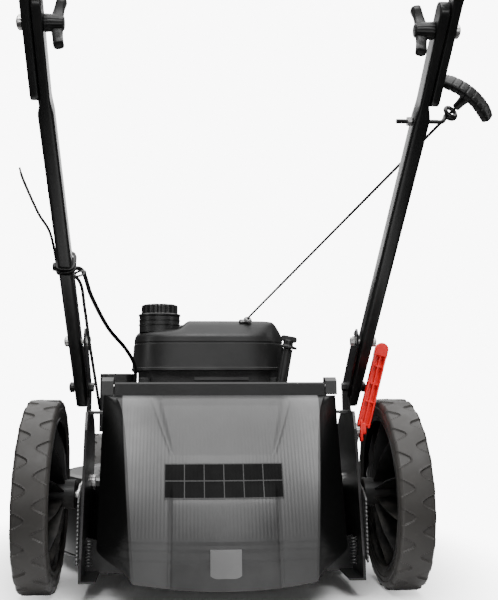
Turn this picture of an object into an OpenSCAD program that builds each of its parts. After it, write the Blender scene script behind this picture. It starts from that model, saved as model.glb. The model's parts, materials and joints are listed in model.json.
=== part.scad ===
// Push lawn mower with a rear door, a two-part folding handle and a recoil start engine.
// Seen from behind: +X is the operator's right, +Y is forwards and +Z is up.
// The origin is on the ground, below the middle of the rear axle line.

/* [Wheels] */
// Diameter of a rear wheel
rear_wheel_d = 280; // [240:5:320]
// Width of a rear tread
rear_tread_w = 50; // [40:1:60]
// Distance between the middles of the rear treads
rear_track = 538; // [530:2:600]
// Diameter of a front wheel
front_wheel_d = 200; // [165:5:210]
// Width of a front tread
front_tread_w = 44; // [36:1:50]
// Distance between the middles of the front treads
front_track = 462; // [456:2:540]
// Distance between the front and rear axles
wheelbase = 612; // [600:2:700]
// Diameter of an axle stub
axle_d = 12; // [10:0.5:16]
// Distance from a crank's pivot back to its wheel's axle
crank_arm = 75; // [60:1:90]

/* [Deck] */
// Outer radius of the round blade housing
bell_r = 282; // [276:1:340]
// Height of the blade housing's top
bell_top = 158; // [140:1:190]
// Height of the deck's lower edge
deck_edge = 25; // [15:1:35]
// Thickness of the deck's sheet
sheet = 3; // [2:0.5:4]
// Distance of the blade's axis in front of the rear axle
blade_y = 300; // [296:1:350]
// Half width of the rear chute
chute_half = 168; // [150:1:175]

/* [Rear door] */
// Height of the door's hinge rod
hinge_z = 300; // [290:1:320]
// Diameter of the hinge rod
rod_d = 6; // [5:0.5:8]
// Height of the door's lower edge
door_bottom = 38; // [30:1:60]
// Wall of the door
door_wall = 3; // [2:0.5:4]

/* [Handle] */
// Rise of the handle above the horizontal
handle_rise = 39.3; // [32:0.1:48]
// Length of the lower tubes between their two end bolts
lower_len = 633; // [600:1:760]
// Length of the upper handle beyond its bolts
upper_len = 520; // [430:5:630]
// Width of a lower tube
tube_w = 20; // [16:0.5:22]
// Height of a lower tube
tube_h = 25; // [20:0.5:30]
// Wall of the handle's tubes
tube_wall = 1.5; // [1:0.1:2.5]
// Thickness of the flattened tube ends
flat_t = 11.8; // [8:0.2:14]
// Radius of the upper handle's round tube
upper_r = 11; // [9:0.5:13]
// Diameter of the handle's bolts
bolt_d = 8; // [6:0.5:10]
// Diameter of the bail's wire
bail_d = 7; // [5:0.5:8.5]

/* [Engine] */
// Width and length of the engine cover
cover_w = 285; // [280:1:342]
// Height of the engine cover's lower edge
cover_z = 328; // [322:1:334]
// Height of the engine cover's top
cover_top = 418; // [408:1:430]
// Diameter of the crankshaft
shaft_d = 25; // [20:0.5:30]
// Diameter of the fuel tank's neck
neck_d = 74; // [60:1:78]

/* [Blade] */
// Length of the blade from tip to tip
blade_len = 530; // [440:2:540]
// Width of the blade
blade_w = 58; // [45:1:70]
// Height of the blade's underside
blade_z = 48; // [40:1:58]
// Thickness of the blade
blade_t = 4; // [3:0.5:6]

/* [Fits] */
// Clearance on the radius of a turning fit
turn_gap = 0.06; // [0.02:0.01:0.1]
// Gap between two pieces that move on each other
slip_gap = 0.4; // [0.3:0.05:0.8]

/* [Hidden] */
$fn = 64;

left = -1;
right = 1;
black = [0.045, 0.045, 0.05];
dark = [0.12, 0.12, 0.125];
zinc = [0.62, 0.63, 0.65];

// Height at which the deck's upright skirt meets its rounded top
skirt_top = bell_top - 28;

// Side plates, brackets and cranks, from the middle outwards
plate_t = 4;
strap_t = 3;
crank_t = 5;
wheel_gap = 4;
rear_inner = rear_track/2 - rear_tread_w/2;
front_inner = front_track/2 - front_tread_w/2;
plate_out = rear_inner - 39;
strap_out = plate_out + strap_t;
rear_crank_x = strap_out + 1;
front_crank_x = front_inner - crank_t - 6;
front_plate_out = front_crank_x - 1;
rear_r = rear_wheel_d/2;
front_r = front_wheel_d/2;
stub_r = axle_d/2;
pin_r = 8;
crank_drop = 10;
rear_pivot = [crank_arm, rear_r + crank_drop];
front_pivot = [wheelbase + crank_arm, front_r + crank_drop];

// Rear door and chute
rod_y = 3;
rod_r = rod_d/2;
roof_z = hinge_z - 12;
barrel_r = rod_r + 2.5;
barrel_half = chute_half - 18;
lug_w = 18;
door_top = hinge_z - 14;
door_side = chute_half + 13;

// Handle: the middle line of the tubes starts at the pivot bolt
bolt_r = bolt_d/2;
tube_x = strap_out + 1.5 + tube_w/2;
tube_splay = 1.2;
pivot_y = 35;
pivot_z = 299;
stub_len = 33;
notch_len = 107;
guide_len = lower_len - 124;
tail_len = 100;
tip_len = 35;
knob_x = tube_x + lower_len*sin(tube_splay);
flat_in = knob_x - tube_w/2;
flat_out = flat_in + flat_t;
upper_in = flat_out + slip_gap;
upper_out = upper_in + flat_t;
upper_x = (upper_in + upper_out)/2;
upper_end = lower_len + upper_len;
corner_r = 70;
grip_r = upper_r + 4;
grip_half = 150;
wire_r = bail_d/2;
bail_pivot = upper_end - 130;
bail_reach = 134;
bail_open = 45;
bail_x = upper_x - upper_r - wire_r - 3.5;

// Engine
engine_x = -8;
neck_r = neck_d/2;
neck_at = [engine_x - cover_w/2 + 51.5, blade_y - cover_w/2 + 56.5];
band_z = cover_z + 48;
shoulder_z = cover_top - 16;
neck_top = shoulder_z + 23;
shaft_r = shaft_d/2;
case_top = cover_z - 28;
wheel_z = cover_z - 22;
pulley_z = band_z - 14;
pulley_r = 35;
stud_r = 6;
head_y = blade_y + 178;
oil_top = [engine_x + cover_w/2 - 5.5, blade_y - cover_w/2 + 8.5, cover_z + 38];
oil_low = oil_top - [26, -10, 143];
oil_v = (oil_top - oil_low)/norm(oil_top - oil_low);
oil_bore = 7.5;

// A place on the handle: across, along its rise and above its middle line
function on_handle(x, along, above) = [
    x,
    pivot_y - along*cos(handle_rise) + above*sin(handle_rise),
    pivot_z + along*sin(handle_rise) + above*cos(handle_rise)
];
function side_view(p) = [p[1], p[2]];
function unit(v) = v/norm(v);

// Starter rope: from the eyelet on the cover to the guide on the right tube
rope_r = 2;
guide_wire = 3;
eyelet_at = [60, blade_y - 122, cover_top];
rope_from = eyelet_at + [0, 0, 3];
rope_to = on_handle(upper_x + 31, guide_len + 3.4, 15.3);
rope_v = unit(rope_to - rope_from);
loop_r = 8;
loop_gap = 12;
grip_neck = 22;
grip_bend = 70;

// Cables: each route is a list of places in round figures
stop_r = 3.2;
throttle_r = 2.4;
on_top = tube_h/2 + stop_r + 0.6;
tie_len = 268;
meet_len = tie_len - 18;
joint_pass = lower_len + 62;
clip_len = bail_pivot - 60;
tube_at_tie = tube_x + tie_len*sin(tube_splay);
stop_tie = on_handle(-tube_at_tie + 4, meet_len, on_top);
throttle_tie = on_handle(-tube_at_tie - 5, meet_len, on_top);
stop_joint = on_handle(-upper_x + 4, joint_pass, on_top);
throttle_joint = on_handle(-upper_x - 5, joint_pass, on_top);
stop_clip = on_handle(-upper_x + 4, clip_len, upper_r + stop_r + 1);
throttle_clip = on_handle(-upper_x - 5, clip_len, upper_r + stop_r + 1);
handle_v = [0, -cos(handle_rise), sin(handle_rise)];
stub = 8*handle_v;
cut = 0.3*handle_v;
stop_route = [
    [-139, 150, 300], [-139, 130, 334], [-152, 75, 361], [-177, 10, 391],
    [-197, -70, 432], [-207, -116, 465], stop_tie - stub
];
throttle_route = [
    [-188, 20, 266], [-192, -20, 306], [-199, -60, 362], [-204, -100, 412],
    [-210, -120, 448], throttle_tie - stub
];

// ---- shared shapes ----

// One place on a smooth curve through four neighbours
function spline(a, b, c, d, t) =
    0.5*(2*b + (c - a)*t + (2*a - 5*b + 4*c - d)*t*t + (3*b - a - 3*c + d)*t*t*t);

// A smooth route through the places p, with some steps between each two
function smooth(p, steps) = concat(
    [for (i = [0:len(p) - 2], j = [0:steps - 1])
        spline(p[max(i - 1, 0)], p[i], p[i + 1], p[min(i + 2, len(p) - 1)], j/steps)],
    [p[len(p) - 1]]
);

// A straight route in equal steps
function straight(a, b, steps) = [for (i = [0:steps]) a + (b - a)*i/steps];

// A straight route whose ends are square to the handle
function inline(a, b, steps) = concat([a], straight(a + stub, b - stub, steps), [b]);

// A cord of radius r along the route p
module cord(p, r, sides = 8) {
    n = len(p);
    dir = [for (i = [0:n - 1]) unit(p[min(i + 1, n - 1)] - p[max(i - 1, 0)])];
    rise = abs(dir[0][0]) > 0.8 ? [0, 1, 0] : [1, 0, 0];
    flank = [for (d = dir) unit(cross(d, rise))];
    rings = [for (i = [0:n - 1], k = [0:sides - 1])
        p[i] + r*(flank[i]*cos(360*k/sides) + cross(dir[i], flank[i])*sin(360*k/sides))];
    walls = [for (i = [0:n - 2], k = [0:sides - 1]) each [
        [i*sides + k, (i + 1)*sides + k, (i + 1)*sides + (k + 1)%sides],
        [i*sides + k, (i + 1)*sides + (k + 1)%sides, i*sides + (k + 1)%sides]
    ]];
    ends = [[for (k = [0:sides - 1]) k], [for (k = [sides - 1:-1:0]) (n - 1)*sides + k]];
    polyhedron(rings, concat(walls, ends));
}

// Turns +Z to the direction v
module aim(v) {
    rotate([0, acos(v[2]/norm(v)), atan2(v[1], v[0])]) children();
}

// A round bar between two places
module bar(a, b, r) {
    translate(a) aim(b - a) cylinder(r = r, h = norm(b - a));
}

// A round bar across the machine, from x outwards on one side
module pin(side, x, y, z, r, len, facets = 64) {
    translate([side > 0 ? x : -x - len, y, z])
        rotate([0, 90, 0]) cylinder(r = r, h = len, $fn = facets);
}

// A sheet that stands along the machine, from x outwards on one side: its outline is in Y and Z
module side_sheet(side, x, t) {
    translate([side > 0 ? x : -x - t, 0, 0])
        rotate([90, 0, 90]) linear_extrude(t) children();
}

module rounded(w, h, r) {
    square([w - 2*r, h], center = true);
    square([w, h - 2*r], center = true);
    for (x = [-1, 1], y = [-1, 1]) {
        translate([x*(w/2 - r), y*(h/2 - r)]) circle(r);
    }
}

// The handle's own frame: Z along the tubes from the pivot bolt, Y above them
module along_handle() {
    translate([0, pivot_y, pivot_z]) rotate([90 - handle_rise, 0, 0]) children();
}

// A flat link between two places in the side view
module link(a, b, ra, rb, w) {
    d = b - a;
    translate(a) circle(ra);
    translate(b) circle(rb);
    translate(a) rotate(atan2(d[1], d[0])) translate([0, -w/2]) square([norm(d), w]);
}

// ---- deck ----

module bell_profile(wall) {
    top = bell_top - wall;
    r = bell_r - wall;
    polygon([
        [0, 0], [r, 0], [r, skirt_top], [r - 3, top - 17], [r - 11, top - 10], [r - 24, top - 8],
        [150, top - 8], [138, top], [0, top]
    ]);
}

module chute_profile(wall) {
    foot = 185;
    polygon([
        [-wall, 0], [-wall, roof_z - wall], [24 - wall/2, roof_z - wall],
        [foot, bell_top - 8 - wall], [blade_y, bell_top - 8 - wall], [blade_y, 0]
    ]);
}

module bell(wall) {
    translate([0, blade_y, 0]) rotate_extrude($fn = 128) bell_profile(wall);
}

module chute(wall) {
    side_sheet(right, wall - chute_half, 2*(chute_half - wall)) chute_profile(wall);
}

// Everything between two heights, wide enough for the whole deck
module layer(low, high) {
    translate([-bell_r - 50, -bell_r - 50, low]) cube([2*bell_r + 100, 4*bell_r, high - low]);
}

module deck_top() {
    shaft_hole = 40;
    color(black) difference() {
        bell(0);
        bell(sheet);
        chute(sheet);
        layer(-1, skirt_top);
        translate([0, blade_y, bell_top - 20]) cylinder(r = shaft_hole, h = 40);
    }
}

module deck_skirt() {
    color(black) difference() {
        bell(0);
        bell(sheet);
        chute(sheet);
        layer(-1, deck_edge);
        layer(skirt_top, bell_top + 1);
    }
}

module deck_chute() {
    lug_x = chute_half - 2;
    color(black) {
        difference() {
            chute(0);
            chute(sheet);
            bell(0);
            layer(-1, deck_edge);
        }
        for (side = [left, right]) {
            difference() {
                side_sheet(side, lug_x, lug_w) polygon([
                    [rod_y - 7, roof_z - 1], [rod_y - 7, hinge_z + 8], [rod_y + 3, hinge_z + 14],
                    [rod_y + 16, hinge_z + 14], [rod_y + 20, roof_z - 1]
                ]);
                pin(side, lug_x - 5, rod_y, hinge_z, rod_r, 40);
            }
        }
    }
}

module front_plates() {
    rear_end = blade_y + 180;
    nose = front_pivot[0] + 14;
    color(black) for (side = [left, right]) {
        difference() {
            side_sheet(side, front_plate_out - plate_t, plate_t) polygon([
                [rear_end, 70], [front_pivot[0] - 30, 70], [nose, front_pivot[1] - 18],
                [nose, front_pivot[1] + 16], [front_pivot[0] - 30, bell_top - 30],
                [rear_end, bell_top - 30]
            ]);
            translate([0, blade_y, 0]) cylinder(r = bell_r, h = 300, $fn = 128);
            pin(side, front_plate_out - 20, front_pivot[0], front_pivot[1], pin_r + turn_gap, 40);
        }
    }
}

// ---- side plates, with the flanges that tie them to the chute ----

module side_plate(side) {
    plate_in = plate_out - plate_t;
    web = plate_in - chute_half;
    toe = 20;
    color(black) difference() {
        union() {
            side_sheet(side, plate_in, plate_t) polygon([
                [-75, 27], [-75, 60], [-44, 236], [-34, 262], [60, 262], [98, 232], [120, 150],
                [120, 27]
            ]);
            side_sheet(side, chute_half, web) polygon([[-3, 258], [-3, 262], [45, 262], [45, 258]]);
            side_sheet(side, chute_half, web) polygon([[0, 27], [0, 31], [104, 31], [104, 27]]);
            side_sheet(side, plate_in - toe, toe) polygon([[-75, 27], [-75, 30], [-3, 30], [-3, 27]]);
            mirror([side > 0 ? 0 : 1, 0, 0]) rotate([90, 0, 0]) linear_extrude(3) polygon([
                [chute_half - 36, 27], [plate_in, 27], [plate_in, 78], [chute_half + 14, 72]
            ]);
        }
        translate([0, blade_y, 0]) cylinder(r = bell_r, h = 300, $fn = 128);
        pin(side, plate_in - 10, rear_pivot[0], rear_pivot[1], pin_r + turn_gap, 30);
    }
}

// ---- handle brackets: strap, pivot bolt and nut ----

module handle_bracket(side) {
    slot_r = bolt_r + slip_gap;
    color(black) {
        difference() {
            side_sheet(side, plate_out, strap_t) polygon([
                [7, 225], [67, 225], [67, 285], side_view(on_handle(0, -20, 20)),
                side_view(on_handle(0, notch_len - 3, 17)), side_view(on_handle(0, notch_len + 20, 8)),
                side_view(on_handle(0, notch_len + 20, -4)), side_view(on_handle(0, notch_len + 5, -17)),
                side_view(on_handle(0, 0, -20)), [7, 262]
            ]);
            pin(side, plate_out - 5, pivot_y, pivot_z, bolt_r, 20);
            along_handle() pin(side, plate_out - 5, 0, notch_len, slot_r, 20);
            along_handle() translate([side*(plate_out + 5) - 10, 0, 0]) fold_slot(slot_r, 20);
        }
        pin(side, plate_out, pivot_y, pivot_z, bolt_r, tube_x + tube_w/2 + 1 - plate_out);
        pin(side, tube_x + tube_w/2 + 0.8, pivot_y, pivot_z, bolt_r + 4, 5);
    }
    color(zinc) pin(side, plate_out - 6, pivot_y, pivot_z, bolt_r + 3, 6, 6);
}

// The curved way by which the notch bolt leaves the strap when the handle folds forwards
module fold_slot(r, len) {
    swing = 30;
    rotate([0, 90, 0]) rotate([0, 0, 180 - swing]) rotate_extrude(angle = swing)
        translate([notch_len - r, 0]) square([2*r, len]);
}

// ---- rear door ----

// Half width of the door's rear face, which narrows downwards; s runs from 0 at its top to 1
function door_half(s) = chute_half - 41 + 22*(1 - s) + 15*exp(-12*s);
function door_ridge(s) = 73 + 33*max(0, 1 - s/0.34);
function bump(x, half, soft) = 1/(1 + exp((abs(x) - half)/soft));

// Depth of the recess at the door's top
recess = 5;

// Distance of the rear face behind the hinge line, with its recess on top and raised panel below
function door_face(x, s) =
    9 + 121*pow(s, 0.55) + 18*s*(1 - pow(x/door_half(s), 2))
    - recess*max(0, 1 - s/0.34)*bump(x, door_ridge(s) - 3, 1.2)
    + 4*min(1, max(0, (s - 0.5)/0.1))*bump(x, 74, 1.5);

// Places across the door's half width where its wall bends
door_cols = [1, 0.93, 0.72, 0.62, 0.5, 0.3, 0, -0.3, -0.5, -0.62, -0.72, -0.93, -1];

// One level of the door's wall, seen from above: outside from right to left, then inside
function door_level(s) =
    let (
        z = door_top - (door_top - door_bottom)*s,
        half = door_half(s),
        cut = max(0, (s - 0.9)/0.1),
        front = [door_side, 3 + 73*s],
        stop = [half + 5, door_face(half, s) - 4],
        arm = front + (stop - front)*cut,
        out = [for (c = door_cols) [c*half, -door_face(c*half, s), z]],
        inn = [for (c = door_cols) [c*(half - door_wall), -door_face(c*half, s) + door_wall, z]],
        n = len(door_cols)
    )
    concat(
        [[arm[0], -arm[1], z]], out, [[-arm[0], -arm[1], z]],
        [[-arm[0] + door_wall, -arm[1], z]], [for (i = [n - 1:-1:0]) inn[i]],
        [[arm[0] - door_wall, -arm[1], z]]
    );

// A closed wall through rings of equal length; caps split its U shape into strips
module ringed(levels) {
    m = len(levels[0]);
    n = len(levels);
    walls = [for (i = [0:n - 2], k = [0:m - 1]) each [
        [i*m + k, (i + 1)*m + k, (i + 1)*m + (k + 1)%m],
        [i*m + k, (i + 1)*m + (k + 1)%m, i*m + (k + 1)%m]
    ]];
    last = (n - 1)*m;
    caps = [for (k = [0:m/2 - 2]) each [
        [k, k + 1, m - 2 - k], [k, m - 2 - k, m - 1 - k],
        [last + k + 1, last + k, last + m - 2 - k], [last + m - 2 - k, last + k, last + m - 1 - k]
    ]];
    polyhedron([for (l = levels) each l], concat(walls, caps));
}

module door() {
    steps = 14;
    lip = 8.4;
    end_gap = 1;
    hood = 2.4;
    hood_top = hinge_z + barrel_r + 0.6;
    tab_half = 21.5;
    tab_h = 49;
    tab_y = -door_face(0, 0.9);
    color(dark) {
        ringed([for (i = [0:steps]) door_level(pow(i/steps, 1.5))]);
        difference() {
            union() {
                pin(right, -barrel_half, rod_y, hinge_z, barrel_r, 2*barrel_half);
                side_sheet(right, end_gap - barrel_half, 2*(barrel_half - end_gap)) polygon([
                    [-lip, door_top - 4], [-lip, hood_top], [rod_y + 1, hood_top],
                    [rod_y + 1, hood_top - hood], [door_wall - lip, hood_top - hood],
                    [door_wall - lip, door_top - 4]
                ]);
            }
            pin(right, -barrel_half - 1, rod_y, hinge_z, rod_r + turn_gap, 2*barrel_half + 2);
        }
        translate([-tab_half, tab_y - 3, door_bottom - 6]) cube([2*tab_half, 9, tab_h]);
    }
}

module door_rod() {
    half = chute_half + lug_w - 2;
    color(zinc) pin(right, -half, rod_y, hinge_z, rod_r, 2*half);
}

module door_springs() {
    turns = 4;
    wire = 0.9;
    coil_r = rod_r + wire + 0.5;
    first = barrel_half + 2;
    pitch = (chute_half - 4 - first)/turns;
    color(zinc) for (side = [left, right]) {
        coil = [for (a = [0:30:360*turns])
            [side*(first + pitch*a/360), rod_y - coil_r*cos(a), hinge_z + coil_r*sin(a)]];
        door_leg = [[side*first, rod_y - coil_r, hinge_z - 14]];
        deck_leg = [[side*(first + pitch*turns), rod_y - coil_r, hinge_z - 10]];
        cord(concat(door_leg, coil, deck_leg), wire, 6);
    }
}

// ---- handle ----

module lower_tube(side) {
    full_end = guide_len + 12;
    color(black) difference() {
        union() {
            along_handle() translate([side*tube_x, 0, 0]) rotate([0, side*tube_splay, 0])
                translate([0, 0, -stub_len]) difference() {
                    linear_extrude(full_end + stub_len) rounded(tube_w, tube_h, 6);
                    translate([0, 0, -1]) linear_extrude(full_end + stub_len - 2)
                        rounded(tube_w - 2*tube_wall, tube_h - 2*tube_wall, 6 - tube_wall);
                }
            along_handle() {
                side_sheet(side, flat_in, flat_t) translate([-tube_h/2, full_end - 3])
                    square([tube_h, lower_len + tip_len - tube_h/2 - full_end + 3]);
                pin(side, flat_in, 0, lower_len + tip_len - tube_h/2, tube_h/2, flat_t);
            }
        }
        pin(side, tube_x - 30, pivot_y, pivot_z, bolt_r + turn_gap, 60);
        along_handle() {
            pin(side, tube_x - 30, 0, notch_len, bolt_r, 60);
            pin(side, knob_x - 30, 0, lower_len, bolt_r, 60);
            if (side == right) {
                pin(side, tube_x - 30, 0, guide_len, guide_wire, 80);
            }
        }
    }
}

module upper_path(r, ends) {
    for (side = [left, right]) {
        translate([side*upper_x, 0, lower_len + 38 + ends])
            cylinder(r = r, h = upper_len - corner_r - 38 - ends);
        translate([side*(upper_x - corner_r), 0, upper_end - corner_r]) rotate([90, 0, 0])
            rotate([0, 0, side > 0 ? 0 : 90]) rotate_extrude(angle = 90)
                translate([corner_r, 0]) circle(r);
    }
    translate([corner_r - upper_x, 0, upper_end]) rotate([0, 90, 0])
        cylinder(r = r, h = 2*(upper_x - corner_r));
}

module upper_handle() {
    flat_end = lower_len + 45;
    tail_mid = lower_len - tail_len + tube_h/2;
    color(black) along_handle() {
        difference() {
            union() {
                upper_path(upper_r, 0);
                for (side = [left, right]) {
                    side_sheet(side, upper_in, flat_t) translate([-tube_h/2, tail_mid])
                        square([tube_h, flat_end - tail_mid]);
                    pin(side, upper_in, 0, tail_mid, tube_h/2, flat_t);
                }
            }
            difference() {
                upper_path(upper_r - tube_wall, 8);
                for (side = [left, right]) {
                    translate([side*upper_x, 0, lower_len]) cube([40, 40, 96], center = true);
                }
            }
            for (side = [left, right]) {
                pin(side, upper_in - 5, 0, lower_len, bolt_r + turn_gap, 30);
                pin(side, upper_x - 30, 0, bail_pivot, wire_r + turn_gap, 32);
            }
        }
        cable_clip();
    }
}

// The clip that holds the ends of both cables on the left leg
module cable_clip() {
    y = upper_r + stop_r + 1;
    difference() {
        translate([-upper_x - 12, upper_r - 2.5, clip_len - 10]) cube([23, stop_r + 9.5, 10]);
        translate([4 - upper_x, y, clip_len - 11]) cylinder(r = stop_r, h = 12);
        translate([-5 - upper_x, y, clip_len - 11]) cylinder(r = throttle_r, h = 12);
        translate([-upper_x, 0, clip_len - 11]) cylinder(r = upper_r - 0.5, h = 12);
    }
}

module foam_grip() {
    color([0.02, 0.02, 0.02]) along_handle() difference() {
        translate([-grip_half, 0, upper_end]) rotate([0, 90, 0])
            cylinder(r = grip_r, h = 2*grip_half);
        translate([-grip_half - 1, 0, upper_end]) rotate([0, 90, 0])
            cylinder(r = upper_r, h = 2*grip_half + 2);
    }
}

module bail() {
    bend = 30;
    color(black) along_handle() translate([0, 0, bail_pivot]) rotate([-bail_open, 0, 0]) {
        for (side = [left, right]) {
            rotate([bail_open, 0, 0]) pin(side, bail_x, 0, 0, wire_r, upper_x - bail_x);
            translate([side*bail_x, 0, 0]) sphere(wire_r);
            translate([side*bail_x, 0, 0]) cylinder(r = wire_r, h = bail_reach - bend);
            translate([side*(bail_x - bend), 0, bail_reach - bend]) rotate([90, 0, 0])
                rotate([0, 0, side > 0 ? 0 : 90]) rotate_extrude(angle = 90)
                    translate([bend, 0]) circle(wire_r);
        }
        translate([bend - bail_x, 0, bail_reach]) rotate([0, 90, 0])
            cylinder(r = wire_r, h = 2*(bail_x - bend));
    }
}

module bail_wire() {
    hook = 40;
    from = on_handle(-upper_x + 4, clip_len, upper_r + stop_r + 1);
    short = 7;
    to = on_handle(-bail_x, bail_pivot + hook*cos(bail_open) - short, hook*sin(bail_open));
    color(zinc) cord(straight(from, to, 6), 0.9, 8);
}

// ---- wing knobs and their bolts ----

module knob(side) {
    top = flat_in - slip_gap;
    hub_len = 22;
    wing = 24;
    at = side_view(on_handle(0, lower_len, 0));
    color(dark) difference() {
        union() {
            pin(side, top - hub_len, at[0], at[1], 11, hub_len);
            for (way = [-1, 1]) {
                side_sheet(side, top - hub_len - 4, 13)
                    link(at, at + way*[6, wing], 9, 7.5, 12);
            }
        }
        pin(side, top - 14, at[0], at[1], bolt_r + turn_gap, 15);
    }
}

// The bolts that ride with the lower tubes: at the strap's notch and through each knob
module handle_bolts() {
    tube_there = tube_x + notch_len*sin(tube_splay) + tube_w/2;
    nut_t = 6;
    nut_in = plate_out - slip_gap - nut_t;
    knob_end = flat_in - slip_gap - 13;
    head_in = upper_out + slip_gap;
    color(zinc) along_handle() for (side = [left, right]) {
        pin(side, nut_in, 0, notch_len, bolt_r, tube_there + 0.5 - nut_in);
        pin(side, nut_in, 0, notch_len, bolt_r + 3, nut_t, 6);
        pin(side, tube_there + 0.2, 0, notch_len, bolt_r + 4, 4);
        pin(side, knob_end, 0, lower_len, bolt_r, head_in + slip_gap - knob_end);
        pin(side, head_in, 0, lower_len, bolt_r + 5, 3.5);
    }
}

// ---- starter rope, its guide and its grip ----

module rope_guide() {
    rod_end = upper_x + 17;
    corner = on_handle(rod_end, guide_len, 0);
    to_rod = corner - rope_to;
    flat = unit(to_rod - rope_v*(to_rod*rope_v));
    nut_x = tube_x + guide_len*sin(tube_splay) - tube_w/2 - 5;
    color(dark) {
        along_handle() pin(right, nut_x - 9, 0, guide_len, guide_wire, rod_end - nut_x + 9);
        along_handle() pin(right, nut_x, 0, guide_len, guide_wire + 3, 5, 6);
        translate(corner) sphere(guide_wire + 0.3);
        bar(corner, rope_to + flat*loop_r, guide_wire - 0.4);
        translate(rope_to) aim(rope_v) rotate_extrude() translate([loop_r, 0]) circle(guide_wire);
    }
}

module rope_run() {
    color(black) bar(rope_from, rope_to, rope_r);
}

module rope_end() {
    color(black) bar(rope_to, rope_to + rope_v*loop_gap, rope_r);
}

module starter_grip() {
    lean = [0.78, 0, -0.62];
    span = unit(lean - rope_v*(lean*rope_v));
    deep = cross(span, rope_v);
    start = rope_to + rope_v*loop_gap;
    arc = 64;
    color(black) multmatrix([
        [span[0], rope_v[0], deep[0], start[0]], [span[1], rope_v[1], deep[1], start[1]],
        [span[2], rope_v[2], deep[2], start[2]], [0, 0, 0, 1]
    ]) {
        rotate([-90, 0, 0]) cylinder(r1 = 5, r2 = 8, h = grip_neck);
        translate([0, grip_neck + 5 - grip_bend, 0]) rotate([0, 0, 90 - arc/2])
            rotate_extrude(angle = arc) translate([grip_bend, 0]) rounded(13, 22, 5);
    }
}

// ---- cables ----

module stop_cable_lower() {
    color(black) cord(concat(smooth(stop_route, 4), [stop_tie - cut]), stop_r);
}

module stop_cable_middle() {
    color(black) cord(inline(stop_tie, stop_joint, 22), stop_r);
}

module stop_cable_upper() {
    color(black) cord(concat([stop_joint + cut], straight(stop_joint + stub, stop_clip, 15)), stop_r);
}

module throttle_cable_lower() {
    color(black) cord(concat(smooth(throttle_route, 5), [throttle_tie - cut]), throttle_r);
}

module throttle_cable_middle() {
    color(black) cord(inline(throttle_tie, throttle_joint, 26), throttle_r);
}

module throttle_cable_upper() {
    color(black)
        cord(concat([throttle_joint + cut], straight(throttle_joint + stub, throttle_clip, 19)),
            throttle_r);
}

// A tie round the left tube and both cables, with its free tail
module cable_tie() {
    band = 5;
    mid_y = stop_r + 1;
    in_w = tube_w + 1;
    in_h = tube_h + 2*stop_r + 2;
    tail = [
        on_handle(-tube_at_tie - in_w/2 - 2.5, tie_len, 0), [-246, -184, 508], [-263, -190, 536],
        [-283, -200, 579], [-289, -202, 597]
    ];
    color(dark) {
        along_handle() translate([-tube_at_tie, mid_y, tie_len - 13]) difference() {
            linear_extrude(band) rounded(in_w + 3, in_h + 3, 7);
            translate([0, 0, -1]) linear_extrude(band + 2) rounded(in_w, in_h, 6);
        }
        along_handle() translate([-tube_at_tie - in_w/2 - 7, -4, tie_len - 14]) cube([6, 8, 8]);
        cord(smooth(tail, 3), 2, 8);
    }
}

// ---- engine ----

module engine_block() {
    color(dark) difference() {
        union() {
            translate([0, blade_y, bell_top]) cylinder(r = 105, h = 57);
            translate([0, blade_y, bell_top]) cylinder(r = 80, h = case_top - bell_top);
            for (a = [45:90:315]) {
                translate([0, blade_y, case_top - 12]) rotate([0, 0, a]) translate([60, -10, 0])
                    cube([62, 20, 12]);
            }
            translate([-50, blade_y + 70, 195]) cube([100, 80, 90]);
            for (i = [0:5]) {
                translate([-62, blade_y + 84 + 11*i, 185]) cube([124, 4, 108]);
            }
            translate([-58, blade_y + 150, 188]) cube([116, 28, 102]);
        }
        translate([0, blade_y, bell_top - 1]) cylinder(r = shaft_r + turn_gap, h = 300);
    }
}

module cover_shape(wall) {
    w = cover_w - 2*wall;
    translate([engine_x, blade_y, 0]) {
        translate([0, 0, cover_z - wall]) linear_extrude(band_z - cover_z) rounded(w, w, 70 - wall);
        translate([0, 0, band_z - 2*wall]) linear_extrude(shoulder_z - band_z + wall)
            rounded(w - 8, w - 8, 66 - wall);
        translate([47.5, 0, shoulder_z - 2*wall]) linear_extrude(cover_top - shoulder_z + wall)
            rounded(cover_w - 112 - 2*wall, cover_w - 30 - 2*wall, 40 - wall);
    }
}

module engine_cover() {
    wall = 3;
    post_at = 112;
    color(black) {
        difference() {
            cover_shape(0);
            cover_shape(wall);
            translate([neck_at[0], neck_at[1], shoulder_z - 20]) cylinder(r = neck_r + 0.3, h = 40);
        }
        intersection() {
            for (a = [45:90:315]) {
                translate([0, blade_y, 0]) rotate([0, 0, a]) {
                    translate([post_at, 0, case_top]) cylinder(r = 7, h = band_z - case_top - 25);
                    translate([post_at, -2, cover_z + 4]) cube([60, 4, 18]);
                }
            }
            union() {
                translate([0, 0, case_top]) cylinder(r = 900, h = cover_z - case_top + 0.01);
                translate([engine_x, blade_y, cover_z]) linear_extrude(band_z - cover_z)
                    rounded(cover_w - wall, cover_w - wall, 70 - wall/2);
            }
        }
        translate([0, blade_y, pulley_z - 7]) cylinder(r = stud_r, h = cover_top - pulley_z + 5);
        translate([0, blade_y, pulley_z - 7]) cylinder(r = 10, h = 7 - slip_gap);
        translate(eyelet_at - [0, 0, 2]) cylinder(r = 6, h = 3);
    }
}

module fuel_tank() {
    color(dark) difference() {
        union() {
            translate([neck_at[0] + 4, neck_at[1] + 16, shoulder_z - 46]) linear_extrude(41.5)
                rounded(70, 88, 34);
            translate([neck_at[0], neck_at[1], shoulder_z - 5]) cylinder(r = neck_r, h = 28);
        }
        translate([neck_at[0], neck_at[1], shoulder_z - 40]) cylinder(r = neck_r - 5, h = 80);
    }
}

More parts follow.
